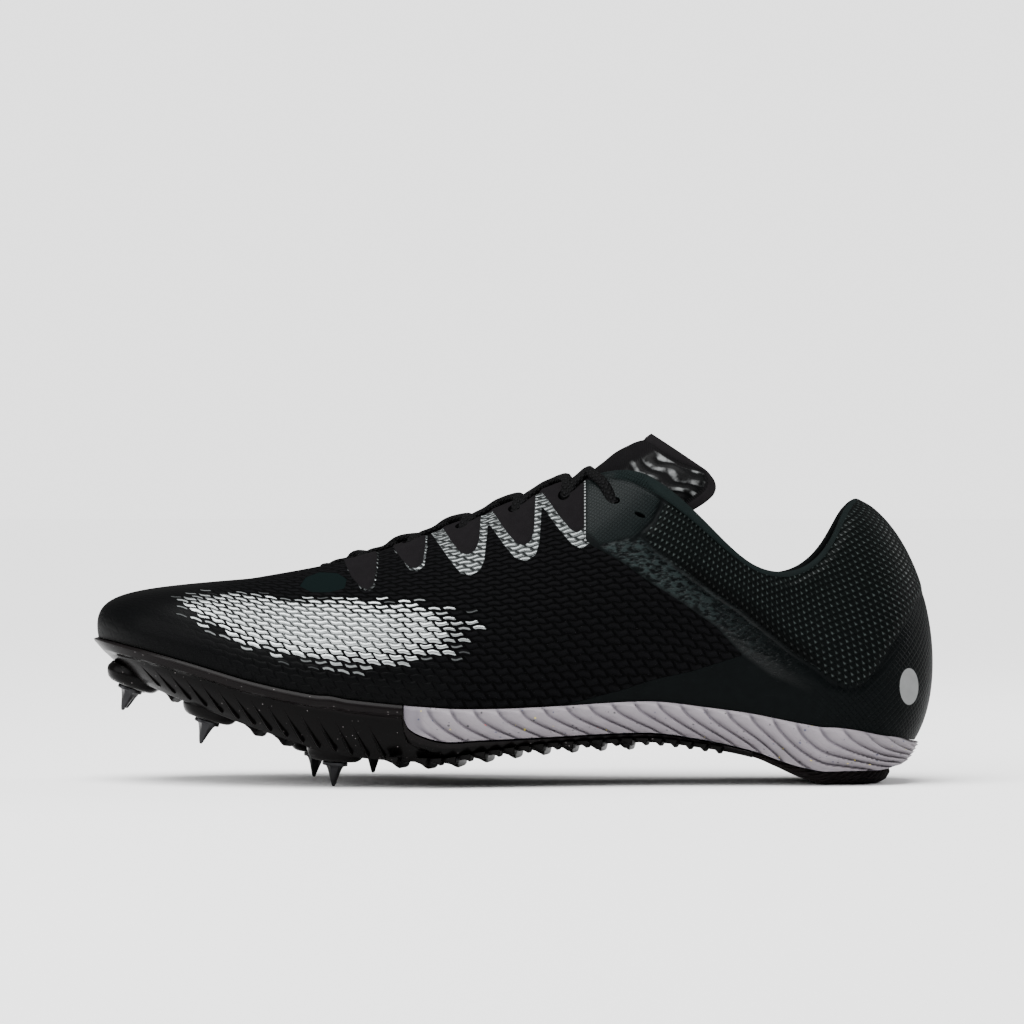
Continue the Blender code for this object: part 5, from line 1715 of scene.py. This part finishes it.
def knit_build(t, place, wave):
    """Rows of slanted, half-lapped loops: place is in millimetres, x along the row and y up the wall."""
    x, y = t.parts(place)
    ripple = t.wave(t.times(x, 2 * math.pi / KNIT_LOOP))
    raised_y = t.over(t.times_plus(ripple, wave, y), KNIT_ROW)
    row = t.math("FLOOR", raised_y)
    in_row = t.math("FRACT", raised_y)
    odd = t.math("FLOORED_MODULO", row, 2.0)
    lap = t.times_plus(in_row, 0.30, t.times(odd, 0.5))
    place_x = t.plus(t.over(x, KNIT_LOOP), lap)
    loop = t.math("FLOOR", place_x)
    in_loop = t.math("FRACT", place_x)
    rise = t.rest(t.math("POWER", t.without_sign(t.times_plus(in_row, 2.0, -1.0)), 2.6))
    end = t.ramp(t.math("PINGPONG", in_loop, 0.5), 0.0, 0.16)
    lean = t.times_plus(in_loop, 0.45, 0.55)
    height = t.times(t.times(rise, end), lean)
    cell = t.add("ShaderNodeCombineXYZ", X=loop, Y=row, Z=0.0)
    chance = t.add("ShaderNodeTexWhiteNoise", settings={"noise_dimensions": "2D"}, Vector=cell)
    cell_x = t.times(t.minus(t.plus(loop, 0.5), lap), KNIT_LOOP)
    cell_y = t.times(t.plus(row, 0.5), KNIT_ROW)
    return height, chance, cell_x, cell_y, t.times(rise, end)


def scales_build(t, place):
    """Small three-cornered scales in slanted rows: place in millimetres."""
    x, y = t.parts(place)
    u = t.over(x, SCALE_WIDTH)
    v = t.over(y, SCALE_ROW)
    row = t.math("FLOOR", v)
    up = t.math("FRACT", v)
    lap = t.times(t.math("FLOORED_MODULO", row, 2.0), 0.5)
    across = t.math("FRACT", t.plus(u, lap))
    tent = t.rest(t.without_sign(t.times_plus(across, 2.0, -1.0)))
    height = t.ramp(t.minus(t.times(tent, 1.25), up), 0.0, 0.55)
    top = t.times(height, t.times_plus(up, 0.9, 0.35))
    glint = t.times(t.ramp(up, 0.30, 0.62), height)
    return top, glint


def speckle_build(t, place, size, share):
    """Round specks of chance tint, on a share of the cells."""
    cells = t.tree.nodes.new("ShaderNodeTexVoronoi")
    t.put(cells, "Vector", place)
    t.put(cells, "Scale", size)
    t.put(cells, "Randomness", 1.0)
    split = t.tree.nodes.new("ShaderNodeSeparateColor")
    t.put(split, "Color", cells.outputs["Color"])
    chosen = t.math("LESS_THAN", split.outputs[0], share)
    radius = t.times_plus(split.outputs[2], 0.16, 0.06)
    spot = t.math("LESS_THAN", cells.outputs["Distance"], radius)
    return t.times(chosen, spot), split.outputs[1]


def grain_build(t, place, size):
    fine = t.noise(place, size, 4.0, 0.6)
    coarse = t.noise(place, t.times(size, 0.12), 2.0, 0.5)
    return t.times_plus(coarse, 0.5, t.times(fine, 0.5)), coarse


KNIT_LOOP = 5.0
KNIT_ROW = 2.05
SCALE_WIDTH = 2.5
SCALE_ROW = 1.9
KNIT = effect(
    "knit_rows",
    [("Place", VECTOR, None), ("Wave", FLOAT, 0.25)],
    [("Height", FLOAT), ("Chance", FLOAT), ("Loop X", FLOAT), ("Loop Y", FLOAT), ("Yarn", FLOAT)],
    knit_build,
)
SCALES = effect(
    "quarter_scales",
    [("Place", VECTOR, None)],
    [("Height", FLOAT), ("Glint", FLOAT)],
    scales_build,
)
SPECKS = effect(
    "specks",
    [("Place", VECTOR, None), ("Size", FLOAT, 600.0), ("Share", FLOAT, 0.1)],
    [("Mask", FLOAT), ("Tint", FLOAT)],
    speckle_build,
)
GRAIN = effect(
    "grain",
    [("Place", VECTOR, None), ("Size", FLOAT, 3000.0)],
    [("Fine", FLOAT), ("Coarse", FLOAT)],
    grain_build,
)


def group_node(tree, group, **inputs):
    made = tree.tree.nodes.new("ShaderNodeGroup")
    made.node_tree = group
    for name, value in inputs.items():
        tree.put(made, name.replace("_", " "), value)
    return made.outputs


CLOUD_MIDDLE = (-62.0, 23.0)
CLOUD_REACH = (56.0, 16.5)
STITCH_PITCH = 1.7


def upper_finish():
    made, t, shader = new_material("upper_knit")
    place = t.object_place()
    x = t.times(t.parts(place)[0], 1000.0)
    walked, around = t.field("walked"), t.field("around")
    knit_place = t.add("ShaderNodeCombineXYZ", X=x, Y=t.field("girth"), Z=0.0)
    knit = group_node(t, KNIT, Place=knit_place, Wave=0.22)
    quarter_place = t.add("ShaderNodeCombineXYZ", X=around, Y=walked, Z=0.0)
    scales = group_node(t, SCALES, Place=t.scaled(quarter_place, (1, 1, 1), (0, 0, math.radians(28))))
    grain = group_node(t, GRAIN, Place=place, Size=2600.0)
    film = t.ramp(t.field("film"), 0.1, -0.1)
    quarter = t.times(t.ramp(t.field("quarter"), 0.6, -0.6), t.ramp(t.field("edge"), 0.5, 0.3))
    at_throat = t.ramp(t.field("from_heel"), 6.6, 7.0)
    tab = t.times(t.ramp(t.field("tab"), 0.12, -0.12), at_throat)
    bound = t.times(t.ramp(t.field("below_top"), 2.4, 2.1), t.ramp(t.field("from_heel"), 7.9, 8.1))
    bound = t.times(bound, t.ramp(t.field("from_heel"), 14.7, 14.4))
    tab = t.larger(tab, bound)
    band = t.times(t.ramp(t.field("band"), 0.12, -0.12), t.ramp(t.field("film"), -0.2, 0.2))
    oval = t.ramp(t.field("oval"), 0.12, -0.12)
    dot = t.ramp(t.field("dot"), 0.06, -0.06)
    edge, lining = t.ramp(t.field("edge"), 0.35, 0.6), t.ramp(t.field("lining"), 0.1, 0.5)
    wrinkled = t.times(t.ramp(t.field("wrinkled"), 0.4, -1.6), t.ramp(x, 104.0, 80.0))
    dotted = t.ramp(t.field("dotted"), 0.4, -1.0)
    # A cloud of silvered loops on the side of the forefoot, in place of any mark
    far_along, far_up = [
        t.math("POWER", t.times_plus(place, 1 / reach, -middle / reach), 2.0)
        for place, middle, reach in zip((knit[2], knit[3]), CLOUD_MIDDLE, CLOUD_REACH)
    ]
    cloud = t.minus(1.45, t.times(t.plus(far_along, far_up), 1.35))
    share = t.minus(cloud, t.times(knit[1], 0.50))
    foil = t.times(t.minus(t.plus(knit[4], share), 1.0), 4.0)
    foil = t.ramp(t.math("MINIMUM", foil, t.times(knit[4], 3.0)), 0.0, 1.0)
    toe_smooth = t.ramp(x, -82.0, -112.0)
    guard = t.times(t.ramp(walked, 21.0, 9.0), t.ramp(x, -12.0, -34.0))
    toe_film = t.larger(toe_smooth, guard)
    colour = t.blend(knit[0], (0.0007, 0.0007, 0.0008, 1), (0.0028, 0.0028, 0.0032, 1))
    colour = t.blend(t.times(toe_film, 0.85), colour, (0.0007, 0.0008, 0.0009, 1))
    colour = t.blend(foil, colour, (0.31, 0.33, 0.33, 1))
    film_tone = t.blend(grain[1], (0.0012, 0.0016, 0.0017, 1), (0.0025, 0.0033, 0.0034, 1))
    film_tone = t.blend(dotted, film_tone, (0.0046, 0.0066, 0.0066, 1))
    pucker = t.noise(t.scaled(place, (420.0, 420.0, 900.0), (0, math.radians(-38), 0)), 1.0, 1.0)
    pucker_top = t.ramp(pucker, 0.38, 0.64)
    # Painted highlight: the crests of the film's puckers are painted lighter into the film's colour, fading
    # towards the heel.
    crest = t.times(pucker_top, t.ramp(t.noise(place, 160.0), 0.30, 0.60, 0.45, 1.0))
    crest = t.times(crest, t.times(wrinkled, t.ramp(x, 96.0, 44.0)))
    film_tone = t.blend(crest, film_tone, (0.013, 0.018, 0.018, 1))
    colour = t.blend(film, colour, film_tone)
    # Painted highlight: the scales' glints are painted pale into the quarter's colour, brighter in random
    # patches.
    glint = t.times(scales[1], t.ramp(t.noise(place, 420.0), 0.30, 0.62, 0.35, 1.0))
    quarter_tone = t.blend(glint, (0.0016, 0.0022, 0.0021, 1), (0.038, 0.048, 0.046, 1))
    # Painted shadow: the quarter darkens towards its front lower edge, where it meets the film.
    shade = t.times(t.ramp(t.field("quarter"), -6.5, -0.5), t.ramp(x, 112.0, 96.0))
    shade = t.times(shade, t.ramp(x, 52.0, 62.0))
    quarter_tone = t.blend(t.times(shade, 0.85), quarter_tone, (0.0005, 0.0006, 0.0006, 1))
    colour = t.blend(quarter, colour, quarter_tone)
    seam = t.ramp(t.without_sign(t.plus(t.field("film"), 0.25)), 0.32, 0.22)
    seam = t.times(seam, t.times(t.ramp(x, 26.0, 25.0), t.ramp(walked, 40.0, 44.0)))
    stitches = t.times(seam, t.math("GREATER_THAN", t.math("FRACT", t.over(walked, STITCH_PITCH)), 0.42))
    colour = t.blend(t.times(stitches, 0.8), colour, (0.20, 0.21, 0.21, 1))
    silver_tone = t.blend(t.ramp(knit[0], 0.10, 0.45), (0.008, 0.009, 0.009, 1), (0.125, 0.135, 0.135, 1))
    colour = t.blend(band, colour, silver_tone)
    colour = t.blend(oval, colour, (0.0020, 0.0042, 0.0042, 1))
    colour = t.blend(tab, colour, t.blend(grain[0], (0.0028, 0.0025, 0.0028, 1), (0.0075, 0.0068, 0.0075, 1)))
    edge_tone = t.blend(grain[0], (0.0030, 0.0046, 0.0046, 1), (0.0080, 0.0118, 0.0115, 1))
    colour = t.blend(edge, colour, edge_tone)
    colour = t.blend(dot, colour, t.blend(grain[1], (0.138, 0.142, 0.142, 1), (0.188, 0.192, 0.192, 1)))
    colour = t.blend(lining, colour, (0.0030, 0.0034, 0.0036, 1))
    rough = t.mix(toe_film, 0.80, 0.50)
    rough = t.mix(foil, rough, 0.30)
    rough = t.mix(film, rough, t.mix(wrinkled, 0.46, 0.26))
    rough = t.mix(quarter, rough, t.mix(scales[1], 0.62, 0.36))
    rough = t.mix(band, rough, 0.34)
    matte = t.larger(t.larger(tab, edge), t.larger(lining, oval))
    rough = t.mix(matte, rough, 0.93)
    rough = t.mix(dot, rough, 0.55)
    metal = t.larger(foil, t.times(band, t.ramp(knit[0], 0.10, 0.45)))
    metal = t.times(metal, t.rest(t.larger(matte, dot)))
    metal = t.times(metal, 0.9)
    cover = t.larger(t.larger(film, quarter), t.larger(matte, dot))
    knit_depth = t.times(t.rest(cover), t.mix(toe_film, 1.0, t.mix(toe_smooth, 0.40, 0.05)))
    bumped = t.bump(t.times(knit[0], knit_depth), 0.0011, 0.9)
    scale_depth = t.times(quarter, t.rest(edge))
    bumped = t.bump(t.times(scales[0], scale_depth), 0.0009, 1.0, bumped)
    diamond = diamond_height(t, around, walked, 2.4)
    heel_film = t.times(film, t.ramp(x, 96.0, 120.0))
    diamond = t.times(diamond, t.times(heel_film, t.rest(t.larger(quarter, dot))))
    bumped = t.bump(diamond, 0.00035, 0.6, bumped)
    small = t.times(diamond_height(t, x, walked, 1.7), dotted)
    bumped = t.bump(small, 0.00035, 0.9, bumped)
    bumped = t.bump(t.times(pucker_top, wrinkled), 0.0006, 0.9, bumped)
    bumped = t.bump(t.times(grain[0], t.mix(matte, 0.25, 1.0)), 0.00012, 0.6, bumped)
    finish_with(t, shader, Base_Color=colour, Roughness=rough, Metallic=metal, Normal=bumped)
    shine = t.mix(film, t.mix(toe_film, 0.0, 0.02), t.mix(wrinkled, t.mix(dotted, 0.0, 0.04), 0.14))
    shine = t.mix(quarter, shine, t.times(scales[1], 0.12))
    t.put(shader, "Coat Weight", t.times(shine, t.rest(matte)))
    shader.inputs["Coat Roughness"].default_value = 0.26
    shader.inputs["Specular IOR Level"].default_value = 0.022
    return made


def diamond_height(t, x, y, pitch):
    one = t.math("PINGPONG", t.over(t.plus(x, y), pitch), 0.5)
    two = t.math("PINGPONG", t.over(t.minus(x, y), pitch), 0.5)
    return t.ramp(t.math("MINIMUM", one, two), 0.0, 0.22)


def foam_finish():
    made, t, shader = new_material("midsole_foam")
    place = t.object_place()
    dark = group_node(t, SPECKS, Place=place, Size=470.0, Share=0.70)
    bright = group_node(t, SPECKS, Place=t.scaled(place, (1, 1, 1), (0.7, 0.3, 0.2)), Size=430.0, Share=0.10)
    grain = group_node(t, GRAIN, Place=place, Size=1500.0)
    colour = t.blend(grain[1], (0.138, 0.123, 0.138, 1), (0.182, 0.164, 0.180, 1))
    # Painted shade: the foam is painted darker along the step of each scale.
    groove = t.ramp(t.without_sign(t.field("groove")), 0.16, 0.0)
    colour = t.blend(t.times(groove, 0.60), colour, (0.050, 0.044, 0.060, 1))
    dark_tone = t.blend(t.ramp(dark[1], 0.4, 0.5), (0.015, 0.02, 0.055, 1), (0.01, 0.01, 0.012, 1))
    colour = t.blend(t.times(dark[0], 0.85), colour, dark_tone)
    bright_tone = t.blend(t.ramp(bright[1], 0.45, 0.55), (0.55, 0.03, 0.02, 1), (0.60, 0.50, 0.03, 1))
    colour = t.blend(t.times(bright[0], 0.9), colour, bright_tone)
    bumped = t.bump(grain[0], 0.00022, 0.5)
    finish_with(t, shader, Base_Color=colour, Roughness=t.mix(grain[0], 0.50, 0.68), Normal=bumped)
    return made


def plate_finish():
    made, t, shader = new_material("plate_plastic")
    place = t.object_place()
    specks = group_node(t, SPECKS, Place=place, Size=1000.0, Share=0.12)
    grain = group_node(t, GRAIN, Place=place, Size=900.0)
    band = t.ramp(t.field("height"), 0.70, 0.80)
    dark = t.blend(grain[1], (0.0006, 0.0005, 0.0005, 1), (0.0014, 0.0011, 0.0011, 1))
    colour = t.blend(band, dark, t.blend(grain[1], (0.0026, 0.0022, 0.0023, 1), (0.0052, 0.0042, 0.0043, 1)))
    colour = t.blend(t.times(specks[0], 0.7), colour, (0.12, 0.11, 0.11, 1))
    bumped = t.bump(grain[0], 0.00008, 0.4)
    finish_with(t, shader, Base_Color=colour, Roughness=t.mix(grain[1], 0.24, 0.36), Normal=bumped)
    shader.inputs["Specular IOR Level"].default_value = 0.045
    return made


def rubber_finish():
    made, t, shader = new_material("heel_rubber")
    place = t.object_place()
    grain = group_node(t, GRAIN, Place=place, Size=1800.0)
    colour = t.blend(grain[1], (0.0040, 0.0031, 0.0031, 1), (0.0095, 0.0075, 0.0075, 1))
    rough = t.mix(grain[0], 0.55, 0.75)
    bumped = t.bump(grain[0], 0.00015, 0.6)
    finish_with(t, shader, Base_Color=colour, Roughness=rough, Normal=bumped)
    shader.inputs["Specular IOR Level"].default_value = 0.06
    return made


def cloth_finish(name, low, high, pitch, rough):
    """A plain close weave on object coordinates."""
    made, t, shader = new_material(name)
    place = t.object_place()
    x, y = [t.times(part, 2 * math.pi / pitch) for part in t.parts(place)]
    weave = t.times_plus(t.wave(x), t.wave(y), 0.5)
    grain = group_node(t, GRAIN, Place=place, Size=2500.0)
    colour = t.blend(t.times(weave, grain[1]), low, high)
    bumped = t.bump(weave, 0.0002, 0.5)
    finish_with(t, shader, Base_Color=colour, Roughness=t.mix(grain[0], rough - 0.08, rough), Normal=bumped)
    shader.inputs["Specular IOR Level"].default_value = 0.04
    return made


def tongue_finish():
    made, t, shader = new_material("tongue_cloth")
    place = t.object_place()
    edge, top, across, backing = t.field("edge"), t.field("from_top"), t.field("across"), t.field("backing")
    grain = group_node(t, GRAIN, Place=place, Size=2600.0)
    twill = t.wave(t.times(t.plus(across, t.times(top, 1.6)), 5.2))
    binding = t.ramp(edge, 3.2, 2.9)
    panel = t.times(t.ramp(edge, 4.0, 4.6), t.ramp(top, 25.0, 24.4))
    panel = t.times(panel, t.ramp(t.without_sign(across), 8.0, 10.5))
    panel = t.times(panel, t.rest(t.ramp(backing, 0.3, 0.7)))
    # Soft ripples of light across the glossy panel, painted into its colour as pale wavy reflections
    sway = t.times_plus(t.wave(t.times(across, 0.55)), 0.7, top)
    bent = t.times_plus(t.noise(place, 90.0), 5.0, sway)
    lines = t.times_plus(t.wave(t.times(bent, 1.25)), 0.5, 0.5)
    painted_ripple_reflection = t.times(t.ramp(lines, 0.45, 1.0), t.ramp(t.noise(place, 240.0), 0.38, 0.72))
    painted_ripple_reflection = t.times(painted_ripple_reflection, panel)
    colour = t.blend(grain[0], (0.0024, 0.0023, 0.0025, 1), (0.0058, 0.0054, 0.0058, 1))
    # Painted shade: the tongue turns near black further down the throat, under the lace and the eyelets.
    colour = t.blend(t.ramp(top, 34.0, 46.0), colour, (0.0008, 0.0008, 0.0009, 1))
    binding_tone = t.blend(grain[0], (0.0036, 0.0033, 0.0036, 1), (0.0088, 0.0080, 0.0086, 1))
    colour = t.blend(binding, colour, binding_tone)
    colour = t.blend(panel, colour, (0.0012, 0.0013, 0.0014, 1))
    # Painted reflection: the wavy lines are painted pale into the panel's colour.
    colour = t.blend(painted_ripple_reflection, colour, (0.16, 0.165, 0.165, 1))
    rough = t.mix(panel, 0.92, 0.34)
    bumped = t.bump(t.times(twill, t.rest(t.larger(panel, binding))), 0.00018, 0.6)
    bumped = t.bump(t.times(lines, panel), 0.0005, 0.4, bumped)
    bumped = t.bump(grain[0], 0.00012, 0.5, bumped)
    finish_with(t, shader, Base_Color=colour, Roughness=t.mix(painted_ripple_reflection, rough, 0.45), Normal=bumped)
    shader.inputs["Specular IOR Level"].default_value = 0.03
    return made


LACE_STRANDS = 6.0


def lace_finish():
    """A round braid: strands that cross both ways round the cord."""
    made, t, shader = new_material("lace_cord")
    along, round_cord = t.parts(t.cloth_place())
    turn = t.times(round_cord, LACE_STRANDS)
    one = t.math("PINGPONG", t.plus(t.over(along, 2.0), turn), 0.5)
    two = t.math("PINGPONG", t.minus(t.over(along, 2.0), turn), 0.5)
    strands = t.ramp(t.times(t.times(one, two), 4.0), 0.05, 0.75)
    grain = group_node(t, GRAIN, Place=t.object_place(), Size=3500.0)
    colour = t.blend(strands, (0.0006, 0.0006, 0.0007, 1), (0.0042, 0.0042, 0.0046, 1))
    bumped = t.bump(strands, 0.0006, 0.9)
    bumped = t.bump(grain[0], 0.0001, 0.5, bumped)
    finish_with(t, shader, Base_Color=colour, Roughness=t.mix(grain[0], 0.62, 0.80), Normal=bumped)
    shader.inputs["Specular IOR Level"].default_value = 0.05
    return made


def steel_finish():
    made, t, shader = new_material("spike_steel")
    place = t.object_place()
    grain = group_node(t, GRAIN, Place=place, Size=1600.0)
    colour = t.blend(grain[1], (0.006, 0.006, 0.0065, 1), (0.024, 0.024, 0.026, 1))
    bumped = t.bump(grain[0], 0.00004, 0.4)
    finish_with(t, shader, Base_Color=colour, Roughness=t.mix(grain[0], 0.22, 0.42), Normal=bumped)
    shader.inputs["Metallic"].default_value = 0.85
    return made


# The pieces
build_upper(upper_finish())
shown("midsole_foam", midsole_mesh(), foam_finish(), ("midsole",), sharp=45, turn_out=False)
build_plate(plate_finish())
shown("heel_rubber", heel_pad_mesh(), rubber_finish(), ("heel_pad",), sharp=45, turn_out=False)
build_spikes(steel_finish())
build_tongue(tongue_finish())
build_lace(lace_finish())
build_insole(cloth_finish("insole_cloth", (0.006, 0.006, 0.006, 1), (0.020, 0.020, 0.020, 1), 0.0012, 0.9))


# The room
FILL_LIGHT = 0.25
BACKDROP_LIGHT = 2.38
OVERHEAD_LIGHT = 8.0
OVERHEAD_SPREAD = math.radians(50)
OVERHEAD_LEAN = (math.radians(14), math.radians(-10), 0)
FLOOR_REACH = 60
CAMERA_LENS = 167.0
CAMERA_SENSOR = 36.0
# Each light's name, its place, the point that it faces, its width and height, and its power
SOFT_LIGHTS = (
    ("front_light", (-0.75, -0.95, 0.75), (-0.02, 0, 0.05), (0.9, 0.7), 10.0),
    ("toe_light", (-1.0, -0.30, 0.45), (-0.08, 0, 0.05), (0.7, 0.6), 6.0),
    ("rim_light", (0.9, 0.45, 0.5), (0.08, 0, 0.06), (0.4, 0.4), 6.0),
)


def flat_stage(name, corners, colour):
    mesh = bpy.data.meshes.new(name)
    mesh.from_pydata(corners, [], [(0, 1, 2, 3)])
    made = in_scene(name, mesh)
    paint, _, shader = new_material(name)
    shader.inputs["Base Color"].default_value = colour
    shader.inputs["Roughness"].default_value = 0.7
    mesh.materials.append(paint)
    return made


def soft_light(name, place, target, size, power):
    data = bpy.data.lights.new(name, "AREA")
    data.shape = "RECTANGLE"
    data.size, data.size_y = size
    data.energy = power
    made = in_scene(name, data)
    made.location = place
    made.rotation_euler = (Vector(target) - Vector(place)).to_track_quat("-Z", "Y").to_euler()


def build_room():
    far = FLOOR_REACH
    corners = [(-far, -far, 0), (far, -far, 0), (far, far, 0), (-far, far, 0)]
    flat_stage("floor", corners, (0.95, 0.95, 0.95, 1))
    world = bpy.data.worlds.new("studio")
    bpy.context.scene.world = world
    world.use_nodes = True
    t = Tree(world.node_tree)
    straight = t.add("ShaderNodeLightPath")
    back = world.node_tree.nodes["Background"]
    back.inputs["Color"].default_value = (1.0, 1.0, 1.0, 1)
    t.put(back, "Strength", t.mix(straight, FILL_LIGHT, BACKDROP_LIGHT))
    sun = bpy.data.lights.new("overhead_light", "SUN")
    sun.energy = OVERHEAD_LIGHT
    sun.angle = OVERHEAD_SPREAD
    in_scene("overhead_light", sun).rotation_euler = OVERHEAD_LEAN
    for light in SOFT_LIGHTS:
        soft_light(*light)


def build_camera():
    data = bpy.data.cameras.new("camera")
    data.lens = CAMERA_LENS
    data.sensor_width = CAMERA_SENSOR
    made = in_scene("camera", data)
    made.location = (0.0, -VIEW_DISTANCE, VIEW_HEIGHT)
    made.rotation_euler = (math.radians(90), 0, 0)
    bpy.context.scene.camera = made


build_room()
build_camera()
